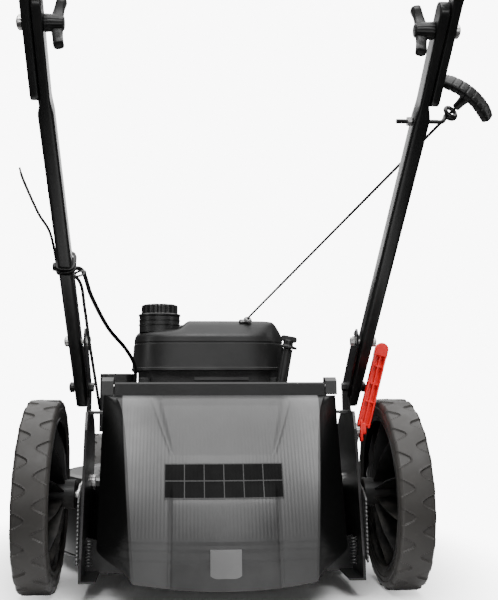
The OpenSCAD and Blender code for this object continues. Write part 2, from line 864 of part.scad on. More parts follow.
module fuel_cap() {
    lobes = 8;
    brim_z = neck_top + slip_gap;
    color(black) translate([neck_at[0], neck_at[1], 0]) {
        translate([0, 0, neck_top - 12]) cylinder(r = neck_r - 5 - slip_gap, h = 13);
        translate([0, 0, brim_z]) cylinder(r = neck_r + 1.5, h = 4.6);
        translate([0, 0, brim_z + 4]) linear_extrude(18.6) union() {
            circle(neck_r - 7);
            for (i = [0:lobes - 1]) {
                rotate(360*i/lobes) translate([neck_r - 8, 0]) circle(5.5);
            }
        }
    }
}

module filler_tube() {
    elbow = [70, blade_y - 66, 195];
    color(dark) difference() {
        union() {
            translate(oil_low) sphere(11);
            bar(oil_low, oil_top, 10);
            bar(elbow, oil_low, 10);
        }
        bar(oil_low + oil_v*2, oil_top + oil_v*5, oil_bore);
        translate([0, blade_y, 100]) cylinder(r = 105, h = 115);
    }
}

module dipstick() {
    stick = 120;
    rest = oil_top + oil_v*slip_gap;
    color(black) {
        bar(rest, rest + oil_v*5, 17);
        bar(rest + oil_v*4, rest + oil_v*15, 9);
        translate(rest + oil_v*15) aim(oil_v) translate([-3, -15, -2]) cube([6, 30, 9]);
        bar(rest - oil_v*8, rest + oil_v*1, oil_bore - slip_gap);
    }
    color(zinc) bar(rest - oil_v*stick, rest - oil_v*7, 2);
}

module carburettor() {
    y = blade_y + 102;
    color(zinc) {
        pin(left, 62, y, 240, 16, 40);
        translate([-150, y - 22, 222]) cube([50, 44, 42]);
        translate([-125, y, 196]) cylinder(r = 18, h = 28);
    }
}

module air_cleaner() {
    color(black) translate([-183, blade_y + 98, 216]) linear_extrude(110) rounded(66, 112, 16);
}

module muffler() {
    color(zinc) {
        translate([62, blade_y + 96, 212]) cube([78, 72, 74]);
        pin(right, 139, blade_y + 112, 232, 10, 12);
    }
}

module spark_plug() {
    color(zinc) translate([0, head_y, 240]) rotate([-90, 0, 0]) {
        cylinder(r = 10, h = 14, $fn = 6);
        cylinder(r = 5, h = 42);
    }
}

module plug_boot() {
    color(black) difference() {
        translate([0, head_y + 20, 240]) rotate([-90, 0, 0]) {
            cylinder(r = 9, h = 30);
            translate([0, 0, 22]) rotate([90, 0, 0]) cylinder(r = 7, h = 26);
        }
        translate([0, head_y, 240]) rotate([-90, 0, 0]) cylinder(r = 5, h = 42);
    }
}

module crankshaft() {
    foot = blade_z + blade_t + 8;
    color(zinc) translate([0, blade_y, foot]) cylinder(r = shaft_r, h = wheel_z + 30 - foot);
}

module flywheel() {
    fins = 12;
    color(zinc) translate([0, blade_y, 0]) difference() {
        union() {
            translate([0, 0, wheel_z]) cylinder(r = 95, h = 14);
            for (i = [0:fins - 1]) {
                rotate([0, 0, 360*i/fins]) translate([58, -2, wheel_z + 13]) cube([33, 4, 20]);
            }
        }
        translate([0, 0, wheel_z - 1]) cylinder(r = shaft_r, h = 40);
    }
}

module rope_pulley() {
    color(dark) translate([0, blade_y, pulley_z]) difference() {
        union() {
            cylinder(r = pulley_r, h = 3);
            cylinder(r = pulley_r - 6, h = 12);
            translate([0, 0, 11]) cylinder(r = pulley_r, h = 3);
        }
        translate([0, 0, -1]) cylinder(r = stud_r + turn_gap, h = 20);
    }
}

// ---- blade ----

module blade() {
    half = blade_len/2;
    wing = 85;
    color(dark) translate([0, blade_y, 0]) difference() {
        union() {
            intersection() {
                translate([-half, -blade_w/2, blade_z]) cube([blade_len, blade_w, blade_t]);
                translate([0, 0, blade_z]) cylinder(r = half, h = blade_t);
            }
            for (turn = [0, 180]) {
                intersection() {
                    rotate([0, 0, turn]) translate([half - wing, -blade_w/2, blade_z + blade_t])
                        rotate([-35, 0, 0]) translate([0, -1, -blade_t]) cube([wing, 24, blade_t]);
                    translate([0, 0, blade_z]) cylinder(r = half, h = 60);
                }
            }
        }
        translate([0, 0, blade_z - 1]) cylinder(r = 5, h = blade_t + 2);
    }
}

module blade_adapter() {
    top = blade_z + blade_t;
    color(zinc) translate([0, blade_y, 0]) {
        difference() {
            union() {
                translate([0, 0, top]) cylinder(r = 28, h = 6);
                translate([0, 0, top]) cylinder(r = 19, h = 30);
            }
            translate([0, 0, top + 8]) cylinder(r = shaft_r, h = 40);
        }
        translate([0, 0, blade_z - 4]) cylinder(r = 5, h = blade_t + 5);
        translate([0, 0, blade_z - 10]) cylinder(r = 12, h = 10, $fn = 6);
    }
}

// ---- wheels, on cranks that set the cutting height ----

lever_low = [-20, rear_wheel_d - 40];
lever_len = 132;
lever_lean = 16;

module crank_outline(axle, pivot, lever) {
    link(axle, pivot, 15, 18, 22);
    if (lever) {
        link(pivot, lever_low + [6, -6], 18, 9, 18);
    }
}

module crank(side, axle, pivot, x, wheel_out, plate_x, lever = false) {
    head_x = plate_x - plate_t - slip_gap - 4;
    color(zinc) {
        side_sheet(side, x, crank_t) crank_outline(axle, pivot, lever);
        pin(side, head_x, pivot[0], pivot[1], pin_r + 4, 4);
        pin(side, head_x + 1, pivot[0], pivot[1], pin_r, x + 1 - head_x);
        pin(side, x + 1, axle[0], axle[1], stub_r, wheel_out - 2 - x);
        pin(side, wheel_out - 4, axle[0], axle[1], stub_r + 4, 3, 6);
    }
}

module height_lever() {
    x = rear_crank_x + crank_t;
    y = lever_low[0];
    z = lever_low[1];
    color([0.85, 0.05, 0.03]) {
        translate([x, y - 7, z - 24]) cube([4, 14, 34]);
        translate([x + 6, y, z]) rotate([0, lever_lean, 0]) {
            translate([-2, -5, 0]) cube([4, 10, lever_len - 8]);
            for (edge = [-1, 1]) {
                translate([edge*9 - 1.5, -6, 0]) cube([3, 12, lever_len - 10]);
            }
            for (h = [0, 36, 64, 92]) {
                translate([-9, -6, h]) cube([18, 12, 3]);
            }
            translate([-9, 0, 0]) cube([18, 4, lever_len - 8]);
            translate([0, 6, lever_len - 11]) rotate([90, 0, 0]) cylinder(r = 10.5, h = 12);
        }
    }
}

// A wheel lies across the machine, from its hub's inner end outwards
module on_axle(side, axle) {
    translate([0, axle[0], axle[1]]) rotate([0, side*90, 0]) children();
}

module rim(side, axle, r, hub_in, inner, w) {
    ring_r = r - 27;
    hub_r = 21;
    outer = inner + w;
    disc = outer - 17;
    color(black) on_axle(side, axle) difference() {
        union() {
            rotate_extrude() {
                translate([0, hub_in]) square([hub_r, outer - 4 - slip_gap - hub_in]);
                translate([hub_r - 1, disc]) square([ring_r - hub_r, 4]);
                translate([ring_r - 4, inner + 3]) square([4, w - 6]);
            }
            for (a = [0:45:315]) {
                rotate([0, 0, a]) translate([hub_r - 2, -1.5, inner + 12])
                    cube([ring_r - hub_r - 1, 3, disc - inner - 11]);
            }
        }
        translate([0, 0, hub_in - 1]) cylinder(r = stub_r + turn_gap, h = 200);
    }
}

module tyre(side, axle, r, inner, w) {
    ring_r = r - 27;
    shoulder = 5;
    color([0.2, 0.2, 0.21]) on_axle(side, axle) rotate_extrude($fn = 128) polygon([
        [ring_r, inner + 3], [ring_r + 8, inner], [r - shoulder - 6, inner], [r, inner + shoulder],
        [r, inner + w - shoulder], [r - shoulder - 6, inner + w], [ring_r + 8, inner + w],
        [ring_r, inner + w - 3]
    ]);
}

rear_axle = [0, rear_r];
front_axle = [wheelbase, front_r];
rear_hub = rear_crank_x + crank_t + wheel_gap;
front_hub = front_crank_x + crank_t + wheel_gap;
rear_out = rear_inner + rear_tread_w;
front_out = front_inner + front_tread_w;

module crank_rear(side) {
    crank(side, rear_axle, rear_pivot, rear_crank_x, rear_out, plate_out, side == right);
}

module crank_front(side) {
    crank(side, front_axle, front_pivot, front_crank_x, front_out, front_plate_out);
}

module rim_rear(side) {
    rim(side, rear_axle, rear_r, rear_hub, rear_inner, rear_tread_w);
}

module rim_front(side) {
    rim(side, front_axle, front_r, front_hub, front_inner, front_tread_w);
}

module tyre_rear(side) {
    tyre(side, rear_axle, rear_r, rear_inner, rear_tread_w);
}

module tyre_front(side) {
    tyre(side, front_axle, front_r, front_inner, front_tread_w);
}

deck_top();
deck_skirt();
deck_chute();
front_plates();
side_plate(left);  // side_plate_left
side_plate(right);  // side_plate_right
handle_bracket(left);  // handle_bracket_left
handle_bracket(right);  // handle_bracket_right
door();
door_rod();
door_springs();
lower_tube(left);  // lower_tube_left
lower_tube(right);  // lower_tube_right
upper_handle();
foam_grip();
bail();
knob(left);  // knob_left
knob(right);  // knob_right
handle_bolts();
rope_guide();
rope_run();
rope_end();
starter_grip();
stop_cable_lower();
stop_cable_middle();
stop_cable_upper();
throttle_cable_lower();
throttle_cable_middle();
throttle_cable_upper();
bail_wire();
cable_tie();
engine_block();
engine_cover();
fuel_tank();
fuel_cap();
filler_tube();
dipstick();
carburettor();
air_cleaner();
muffler();
spark_plug();
plug_boot();
crankshaft();
flywheel();
rope_pulley();
blade();
blade_adapter();
height_lever();
crank_rear(left);  // crank_rear_left
crank_rear(right);  // crank_rear_right
crank_front(left);  // crank_front_left
crank_front(right);  // crank_front_right
rim_rear(left);  // rim_rear_left
rim_rear(right);  // rim_rear_right
rim_front(left);  // rim_front_left
rim_front(right);  // rim_front_right
tyre_rear(left);  // tyre_rear_left
tyre_rear(right);  // tyre_rear_right
tyre_front(left);  // tyre_front_left
tyre_front(right);  // tyre_front_right
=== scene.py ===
import json
import math

import bpy
import numpy as np
from mathutils import Matrix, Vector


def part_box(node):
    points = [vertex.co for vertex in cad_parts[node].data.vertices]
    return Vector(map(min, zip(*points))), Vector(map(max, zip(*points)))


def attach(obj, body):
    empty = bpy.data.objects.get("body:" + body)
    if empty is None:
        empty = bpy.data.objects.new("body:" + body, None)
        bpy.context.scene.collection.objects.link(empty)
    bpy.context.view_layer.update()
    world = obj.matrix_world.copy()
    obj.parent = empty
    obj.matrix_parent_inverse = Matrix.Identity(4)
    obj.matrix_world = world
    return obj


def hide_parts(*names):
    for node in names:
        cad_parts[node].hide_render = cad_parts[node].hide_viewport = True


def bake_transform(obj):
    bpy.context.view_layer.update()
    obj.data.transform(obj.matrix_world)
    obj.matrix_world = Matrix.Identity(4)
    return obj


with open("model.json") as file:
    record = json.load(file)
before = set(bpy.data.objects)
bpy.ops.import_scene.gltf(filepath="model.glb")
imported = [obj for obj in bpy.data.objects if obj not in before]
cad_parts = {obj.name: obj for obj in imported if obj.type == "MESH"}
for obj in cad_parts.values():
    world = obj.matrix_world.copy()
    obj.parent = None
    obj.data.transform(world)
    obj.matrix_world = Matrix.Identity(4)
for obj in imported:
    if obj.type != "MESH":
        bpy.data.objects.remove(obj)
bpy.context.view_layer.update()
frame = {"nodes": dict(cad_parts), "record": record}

# Push lawn mower: +X is the operator's right, +Y forwards, +Z up, in metres from the ground
# under the middle of the rear axle line.
MM = 0.001
LEFT, RIGHT = -1, 1
SIDES = ((LEFT, "left"), (RIGHT, "right"))


def middle(node):
    """The centre of a node's box."""
    low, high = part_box(node)
    return (np.array(low) + np.array(high)) / 2


def half_size(node):
    """Half the width, depth and height of a node's box."""
    low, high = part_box(node)
    return (np.array(high) - np.array(low)) / 2


# ---- camera and lamps ----

def aim_camera():
    """The camera stands behind the mower at hand height and tips up a little."""
    turn, tip, roll = 0.055, 0.20, -0.002
    place = (-0.0752, -1.3679, 0.2937)
    right = np.array([math.cos(turn), -math.sin(turn), 0.0])
    ahead = np.array([math.sin(turn) * math.cos(tip), math.cos(turn) * math.cos(tip),
                      math.sin(tip)])
    up = np.cross(right, ahead)
    lean_right = right * math.cos(roll) + up * math.sin(roll)
    lean_up = up * math.cos(roll) - right * math.sin(roll)
    lens = bpy.data.cameras.new("camera")
    lens.lens = 51.47
    lens.sensor_width = 36.0
    lens.shift_x = 0.0487
    lens.shift_y = -0.1393
    camera = bpy.data.objects.new("camera", lens)
    bpy.context.collection.objects.link(camera)
    columns = np.column_stack([lean_right, lean_up, -ahead, place])
    camera.matrix_world = Matrix([*columns.tolist(), [0.0, 0.0, 0.0, 1.0]])
    bpy.context.scene.camera = camera


def softbox(name, place, target, size, power):
    """A large soft rectangle of light at a place, facing a target."""
    lamp = bpy.data.lights.new(name, "AREA")
    lamp.shape = "RECTANGLE"
    lamp.size, lamp.size_y = size
    lamp.energy = power
    holder = bpy.data.objects.new(name, lamp)
    bpy.context.collection.objects.link(holder)
    back = np.array(place, float) - np.array(target, float)
    back /= np.linalg.norm(back)
    side = np.cross((0.0, 0.0, 1.0) if abs(back[2]) < 0.95 else (0.0, 1.0, 0.0), back)
    side /= np.linalg.norm(side)
    columns = np.column_stack([side, np.cross(back, side), back, place])
    holder.matrix_world = Matrix([*columns.tolist(), [0.0, 0.0, 0.0, 1.0]])


# ---- surfaces ----

def unit(v):
    v = np.asarray(v, float)
    return v / np.linalg.norm(v, axis=-1, keepdims=True)


def smoothstep(x, low, high):
    """0 below low, 1 above high, and an S curve between."""
    t = np.clip((x - low) / (high - low), 0.0, 1.0)
    return t * t * (3 - 2 * t)


def grid_faces(rows, cols, wrap_rows=False, wrap_cols=False):
    """Quads of a grid of points stored row by row, closed on itself where it wraps."""
    i = np.arange(rows if wrap_rows else rows - 1)[:, None]
    j = np.arange(cols if wrap_cols else cols - 1)[None, :]
    below, beside = (i + 1) % rows, (j + 1) % cols
    return np.stack([i * cols + j, i * cols + beside, below * cols + beside, below * cols + j],
                    -1).reshape(-1, 4)


def fan(ring, pole, flip=False):
    """Triangles from a ring of point numbers to one pole."""
    after = np.roll(ring, -1)
    ring, after = (after, ring) if flip else (ring, after)
    return np.stack([ring, after, np.full(len(ring), pole)], -1)


class Shape:
    """Closed surfaces gathered into one mesh, each turned so that it faces outwards."""

    def __init__(self):
        self.points, self.faces, self.count = [], [], 0

    def add(self, points, *face_sets, closed=True):
        points = np.asarray(points, float).reshape(-1, 3)
        if closed:
            centre = points.mean(0)
            volume = 0.0
            for faces in face_sets:
                p = points[faces] - centre
                for k in range(1, faces.shape[1] - 1):
                    volume += np.einsum("ij,ij->", p[:, 0], np.cross(p[:, k], p[:, k + 1]))
            if volume < 0:
                face_sets = [faces[:, ::-1] for faces in face_sets]
        self.points.append(points)
        self.faces.extend(faces + self.count for faces in face_sets)
        self.count += len(points)
        return self

    def mesh(self, name, sharp=40):
        mesh = bpy.data.meshes.new(name)
        faces = [row for faces in self.faces for row in faces.tolist()]
        mesh.from_pydata(np.concatenate(self.points).tolist(), [], faces)
        mesh.validate()
        mesh.shade_smooth()
        mesh.set_sharp_from_angle(angle=math.radians(sharp))
        return mesh


def piece(name, shape, body, slot, replaces=(), sharp=40, blend=None):
    """Makes the mesh an object and gives it its finish; it fixes it to a body of the mower, except
    when blend is given, where it only bakes the object's transform in place.
    """
    thing = bpy.data.objects.new(name, shape.mesh(name, sharp))
    bpy.context.collection.objects.link(thing)
    thing.data.materials.append(FINISHES[slot])
    if blend:
        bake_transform(thing)
    else:
        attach(thing, body)
    if replaces:
        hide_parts(*replaces)
    return thing


def sweep(shape, path, half_w, half_h=None, ref=(0, 0, 1), power=2.0, sides=24, ends=0.0,
          wrap=False):
    """A section carried along a path.

    At each place the section is a superellipse |a/half_w|^p + |b/half_h|^p = 1, with b towards
    ref. With ends above 0 it closes over that length as a quarter ellipse; wrap joins the ends.
    """
    path = np.asarray(path, float)
    count = len(path)
    half_w = np.broadcast_to(half_w, count).astype(float)
    half_h = half_w if half_h is None else np.broadcast_to(half_h, count).astype(float)
    power = np.broadcast_to(power, count).astype(float)
    if wrap:
        ahead = unit(np.roll(path, -1, 0) - np.roll(path, 1, 0))
    else:
        ahead = unit(np.gradient(path, axis=0))
    if ends:
        t = np.sin(np.linspace(0, 1, 5)[:-1] * math.pi / 2)
        shrink = np.sqrt(np.clip(1 - (1 - t) ** 2, 0.02, 1))
        head = path[0] - ahead[0] * ends * (1 - t)[:, None]
        tail = path[-1] + ahead[-1] * ends * (1 - t[::-1])[:, None]
        path = np.concatenate([head, path, tail])
        half_w = np.concatenate([half_w[0] * shrink, half_w, half_w[-1] * shrink[::-1]])
        half_h = np.concatenate([half_h[0] * shrink, half_h, half_h[-1] * shrink[::-1]])
        power = np.concatenate([np.full(4, power[0]), power, np.full(4, power[-1])])
        ahead = np.concatenate([np.repeat(ahead[:1], 4, 0), ahead, np.repeat(ahead[-1:], 4, 0)])
        count = len(path)
    flank = unit(np.cross(ahead, np.broadcast_to(np.asarray(ref, float), ahead.shape)))
    over = np.cross(flank, ahead)
    t = np.arange(sides) * 2 * math.pi / sides
    bend = (2 / power)[:, None]
    a = np.sign(np.cos(t)) * np.abs(np.cos(t)) ** bend * half_w[:, None]
    b = np.sign(np.sin(t)) * np.abs(np.sin(t)) ** bend * half_h[:, None]
    points = path[:, None] + flank[:, None] * a[..., None] + over[:, None] * b[..., None]
    faces = grid_faces(count, sides, wrap, True)
    if wrap:
        return shape.add(points, faces)
    rim = np.arange(sides)
    points = np.concatenate([points.reshape(-1, 3), path[:1], path[-1:]])
    last = count * sides
    return shape.add(points, faces, fan(rim, last, True), fan(rim + last - sides, last + 1))


def axis_frame(axis):
    """Two directions square to an axis and to each other, and the axis itself."""
    axis = unit(axis)
    first = unit(np.cross(axis, (0, 0, 1) if abs(axis[2]) < 0.9 else (0, 1, 0)))
    return first, np.cross(axis, first), axis


def revolve(shape, profile, origin, axis=(0, 0, 1), sides=64, ripple=None, closed=False):
    """A profile of (radius, height) pairs turned round an axis.

    ripple(row, turn) gives what is added to the radius and the height at each point. An open
    profile is closed by a pole at each end, and a closed one by joining its last row to its first.
    """
    profile = np.asarray(profile, float)
    u, v, w = axis_frame(axis)
    turn = np.arange(sides) * 2 * math.pi / sides
    radius = np.repeat(profile[:, :1], sides, 1)
    height = np.repeat(profile[:, 1:], sides, 1)
    if ripple:
        more_r, more_h = ripple(np.arange(len(profile))[:, None], turn[None, :])
        radius, height = radius + more_r, height + more_h
    points = (np.asarray(origin, float) + radius[..., None] * (
        np.cos(turn)[None, :, None] * u + np.sin(turn)[None, :, None] * v)
        + height[..., None] * w)
    faces = grid_faces(len(profile), sides, closed, True)
    if closed:
        return shape.add(points, faces)
    poles = np.asarray(origin, float) + w * np.array([[height[0].mean()], [height[-1].mean()]])
    points = np.concatenate([points.reshape(-1, 3), poles])
    rim = np.arange(sides)
    last = len(profile) * sides
    return shape.add(points, faces, fan(rim, last, True), fan(rim + last - sides, last + 1))


def rounded_rect(w, h, r, steps=5):
    """The outline of a rectangle w by h with corners of radius r, anticlockwise."""
    t = np.linspace(0, math.pi / 2, steps)
    corners = []
    for quarter, (sx, sy) in enumerate(((1, 1), (-1, 1), (-1, -1), (1, -1))):
        a = t + quarter * math.pi / 2
        corners.append(np.stack([sx * (w / 2 - r) + r * np.cos(a),
                                 sy * (h / 2 - r) + r * np.sin(a)], -1))
    return np.concatenate(corners)


def inset(outline, depth):
    """The outline moved inwards by depth along the bisector at each corner."""
    before, after = unit(outline - np.roll(outline, 1, 0)), unit(np.roll(outline, -1, 0) - outline)
    normal = unit(np.stack([before[:, 1] + after[:, 1], -before[:, 0] - after[:, 0]], -1))
    lean = np.clip((normal * np.stack([before[:, 1], -before[:, 0]], -1)).sum(-1), 0.5, 1)
    return outline - normal * (depth / lean)[:, None]


def plate(shape, outline, low, high, edge, origin=(0, 0, 0), across=(1, 0, 0), up=(0, 1, 0),
          out=None):
    """An outline given thickness from low to high along out, with a bevelled edge."""
    outline = np.asarray(outline, float)
    x, y = outline.T
    if (x * np.roll(y, -1) - y * np.roll(x, -1)).sum() < 0:
        outline = outline[::-1]
    small = inset(outline, edge)
    across, up = np.asarray(across, float), np.asarray(up, float)
    out = np.cross(across, up) if out is None else np.asarray(out, float)
    rings = [(small, low), (outline, low + edge), (outline, high - edge), (small, high)]
    points = np.concatenate([
        np.asarray(origin, float) + o[:, :1] * across + o[:, 1:] * up + h * out for o, h in rings])
    k = len(outline)
    ends = np.stack([np.arange(k)[::-1], np.arange(k) + 3 * k])
    return shape.add(points, grid_faces(4, k, False, True), ends)


def block(shape, centre, size, radius, edge, across=(1, 0, 0), up=(0, 1, 0)):
    """A bar w by h by d with rounded corners and bevelled faces."""
    return plate(shape, rounded_rect(size[0], size[1], radius, 4), -size[2] / 2, size[2] / 2,
                 edge, centre, across, up)


def spline(points, steps):
    """A smooth path through the points: a Catmull-Rom curve with some steps between each two."""
    p = np.asarray(points, float)
    p = np.concatenate([p[:1], p, p[-1:]])
    t = (np.arange(steps) / steps)[:, None]
    spans = [0.5 * (2 * b + (c - a) * t + (2 * a - 5 * b + 4 * c - d) * t ** 2
                    + (3 * b - a - 3 * c + d) * t ** 3)
             for a, b, c, d in zip(p[:-3], p[1:-2], p[2:-1], p[3:])]
    return np.concatenate([*spans, p[-2:-1]])


def line(a, b, steps):
    """Evenly spaced places from a to b."""
    return np.asarray(a, float) + (np.asarray(b, float) - np.asarray(a, float)) * np.linspace(
        0, 1, steps)[:, None]


# ---- finishes ----

class Wire:
    """A shader value that Python's operators work on: each one adds a Math node."""

    def __init__(self, finish, socket):
        self.finish, self.socket = finish, socket

    def _math(self, operation, first, second=0.0):
        return self.finish.node("ShaderNodeMath", {"operation": operation},
                                {0: first, 1: second})

    def __add__(self, other):
        return self._math("ADD", self, other)

    def __radd__(self, other):
        return self._math("ADD", other, self)

    def __sub__(self, other):
        return self._math("SUBTRACT", self, other)

    def __rsub__(self, other):
        return self._math("SUBTRACT", other, self)

    def __mul__(self, other):
        return self._math("MULTIPLY", self, other)

    def __rmul__(self, other):
        return self._math("MULTIPLY", other, self)

    def __pow__(self, other):
        return self._math("POWER", self, other)

    def sine(self):
        return self._math("SINE", self)

    def most(self, other):
        return self._math("MAXIMUM", self, other)

    def between(self, low, high):
        """0 at low, 1 at high, smooth between and level outside."""
        return self.finish.node("ShaderNodeMapRange", {"interpolation_type": "SMOOTHSTEP"},
                                {0: self, 1: low, 2: high, 3: 0.0, 4: 1.0})


class Finish:
    """One material: its nodes are made by node(), and its patterns sit on object coordinates."""

    def __init__(self, name):
        self.material = bpy.data.materials.new(name)
        self.material.use_nodes = True
        self.tree = self.material.node_tree
        self.shader = self.tree.nodes["Principled BSDF"]
        self.place = self.node("ShaderNodeTexCoord", outlet="Object")

    def node(self, kind, settings=None, sockets=None, outlet=0):
        made = self.tree.nodes.new(kind)
        for key, value in (settings or {}).items():
            setattr(made, key, value)
        for key, value in (sockets or {}).items():
            self.feed(made.inputs[key], value)
        return Wire(self, made.outputs[outlet])

    def feed(self, socket, value):
        if isinstance(value, Wire):
            self.tree.links.new(value.socket, socket)
        else:
            socket.default_value = value

    def stretched(self, scale):
        """Object coordinates scaled differently along X, Y and Z."""
        return self.node("ShaderNodeMapping", None, {"Vector": self.place, "Scale": scale})

    def noise(self, scale, detail=3.0, rough=0.55, at=None):
        return self.node("ShaderNodeTexNoise", None, {
            "Vector": at or self.place, "Scale": scale, "Detail": detail, "Roughness": rough})

    def cells(self, scale, feature="F1", at=None, outlet="Distance"):
        return self.node("ShaderNodeTexVoronoi", {"feature": feature},
                         {"Vector": at or self.place, "Scale": scale}, outlet)

    def height(self, axis):
        """The X, Y or Z of the place, in metres."""
        return self.node("ShaderNodeSeparateXYZ", None, {0: self.place}, axis)

    def blend(self, mask, first, second):
        """A colour that goes from first to second as the mask goes from 0 to 1."""
        return self.node("ShaderNodeMix", {"data_type": "RGBA"}, {0: mask, 6: first, 7: second}, 2)

    def bump(self, height, depth, strength=1.0, under=None):
        sockets = {"Height": height, "Distance": depth, "Strength": strength}
        if under:
            sockets["Normal"] = under
        return self.node("ShaderNodeBump", None, sockets)

    def surface(self, **inputs):
        names = {"colour": "Base Color", "rough": "Roughness", "metal": "Metallic",
                 "normal": "Normal", "coat": "Coat Weight", "coat_rough": "Coat Roughness",
                 "sheen": "Sheen Weight", "specular": "Specular IOR Level", "alpha": "Alpha"}
        inputs.setdefault("specular", 0.3)
        for key, value in inputs.items():
            self.feed(self.shader.inputs[names[key]], value)
        return self.material


def grey(value, warm=0.0):
    return (value * (1 + warm), value, value * (1 - warm), 1.0)


def moulded(name, dark, light, rough, spread, grain, depth, dust=0.0, **more):
    """A moulded or coated skin: cloudy colour, smudged gloss, a fine grain and dust low down."""
    f = Finish(name)
    clouds = f.noise(9.0, 5.0)
    smudge = f.noise(34.0, 4.0, 0.65)
    fine = f.noise(grain, 2.0, 0.6)
    colour = f.blend(clouds.between(0.35, 0.68), dark, light)
    if dust:
        low = 1.0 - f.height("Z").between(0.02, 0.22)
        film = low * smudge.between(0.4, 0.75) * dust
        colour = f.blend(film, colour, (0.20, 0.185, 0.165, 1.0))
    pits = f.cells(grain * 0.45).between(0.0, 0.5)
    normal = f.bump(fine * 0.7 + pits * 0.3, depth)
    return f.surface(colour=colour, rough=smudge.between(0.3, 0.75) * spread + rough,
                     normal=normal, **more)


def coated(name, dark, light, rough, peel, **more):
    """Powder coat on steel: orange peel, a few pale scuffs and a soft variation of gloss."""
    f = Finish(name)
    peel_map = f.noise(210.0, 2.0, 0.5)
    drift = f.noise(14.0, 4.0)
    scratch = f.noise(55.0, 6.0, 0.7, f.stretched((9.0, 1.0, 1.0))).between(0.70, 0.76)
    rub = scratch * f.noise(6.0, 2.0).between(0.52, 0.66)
    colour = f.blend(drift.between(0.3, 0.7), dark, light)
    colour = f.blend(rub * 0.5, colour, grey(0.10))
    return f.surface(colour=colour, rough=drift * 0.12 + rub * 0.2 + rough,
                     normal=f.bump(peel_map - rub * 0.5, peel), **more)


def door_skin():
    """Grained plastic with painted light: the rear face is painted pale as a reflection, paler towards
    the top and at its upper sides, the lower raised panel is painted darker as shade, and the arms
    that fold forwards are painted black as shade.
    """
    finish = Finish("door_plastic")
    cloud, grain = finish.noise(14.0, 4.0), finish.noise(1300.0, 2.0)
    height, aside = finish.height("Z"), finish.height("X") ** 2
    limit = (height - 0.038) * 0.0887 + 0.128
    # Painted shade: the arms that fold forwards and the hinge lip at the top are painted near black,
    # as if in shadow.
    arms = (aside - limit ** 2).between(0.0, 0.0005).most(height.between(0.2855, 0.2865))
    # Painted reflection: the rear face is painted pale grey, paler towards the top and darker towards
    # the bottom.
    face = finish.blend(height.between(0.06, 0.26), grey(0.035), grey(0.07))
    # Painted highlight: the upper sides of the rear face, where it curves towards the arms, are
    # painted lighter.
    face = finish.blend(aside.between(0.006, 0.02) * height.between(0.1, 0.2), face, grey(0.15))
    # Painted shade: the raised panel low in the middle of the rear face is painted darker.
    panel = (0.0058 - aside).between(0.0, 0.0003) * (1.0 - height.between(0.10, 0.16))
    face = finish.blend(panel, face, grey(0.016))
    face = finish.blend(cloud.between(0.3, 0.8) * 0.5, face, grey(0.05))
    # The arms mask lays painted shade, grey(0.002), over the painted face.
    finish.surface(colour=finish.blend(arms, face, grey(0.002)), rough=cloud * 0.12 + 0.3,
                   normal=finish.bump(grain, 0.00005))
    return finish.material


def plated(name, base, tint, rough):
    """Zinc plate: crystal spangle, drawn scratches and a dull bloom."""
    f = Finish(name)
    spangle = f.cells(320.0, outlet="Color")
    tone = f.node("ShaderNodeSeparateXYZ", None, {0: spangle}, "X")
    bloom = f.noise(60.0, 4.0, 0.6)
    drawn = f.noise(420.0, 2.0, 0.5, f.stretched((0.08, 1.0, 1.0)))
    colour = f.blend(tone * 0.5 + bloom * 0.5, base, tint)
    return f.surface(colour=colour, metal=0.94,
                     rough=bloom.between(0.3, 0.8) * 0.2 + tone * 0.06 + rough,
                     normal=f.bump(drawn * 0.6 + tone * 0.4, 0.00005))


def cast(name, base, tint, rough, grain, metal):
    """Sand-cast metal: pebbled skin with darker pits and oily patches."""
    f = Finish(name)
    pebbles = f.cells(grain).between(0.0, 0.7)
    rough_skin = f.noise(grain * 1.7, 3.0)
    oil = f.noise(16.0, 4.0).between(0.5, 0.7)
    colour = f.blend(rough_skin.between(0.35, 0.65), base, tint)
    colour = f.blend(oil * 0.5, colour, grey(0.02))
    return f.surface(colour=colour, metal=metal, rough=rough - oil * 0.2 + rough_skin * 0.1,
                     normal=f.bump(pebbles + rough_skin, 0.00018))


def foam(name):
    """Closed-cell foam: matt black with open cells and a compressed sheen."""
    f = Finish(name)
    cells = f.cells(1100.0).between(0.05, 0.45)
    lumps = f.noise(90.0, 3.0)
    colour = f.blend(cells, grey(0.004), grey(0.022))
    return f.surface(colour=colour, rough=lumps * 0.1 + 0.86,
                     normal=f.bump(cells + lumps * 0.5, 0.0004), sheen=0.25)


def rubber(name):
    """Tyre rubber: fine pebble, pale scuffed crowns and dust worked into the surface."""
    f = Finish(name)
    fine = f.noise(900.0, 3.0, 0.6)
    scuff = f.noise(38.0, 6.0, 0.7)
    patches = f.noise(7.0, 3.0)
    colour = f.blend(patches.between(0.3, 0.7), grey(0.021, 0.07), grey(0.034, 0.07))
    colour = f.blend(scuff.between(0.55, 0.8) * 0.5, colour, grey(0.06, 0.08))
    return f.surface(colour=colour, rough=scuff.between(0.3, 0.7) * 0.16 + 0.38,
                     normal=f.bump(fine + scuff * 0.4, 0.00012))


def cordage(name):
    """Braided polyester: crossing diagonal yarns of slightly different black."""
    f = Finish(name)
    x, y, z = f.height("X"), f.height("Y"), f.height("Z")
    yarn = ((x + z) * 2600.0).sine() * ((y - z) * 2600.0).sine()
    fuzz = f.noise(1500.0, 3.0)
    colour = f.blend(yarn.between(-0.6, 0.6), grey(0.006), grey(0.03))
    return f.surface(colour=colour, rough=fuzz * 0.15 + 0.62,
                     normal=f.bump(yarn * 0.5 + fuzz, 0.0002), sheen=0.15)


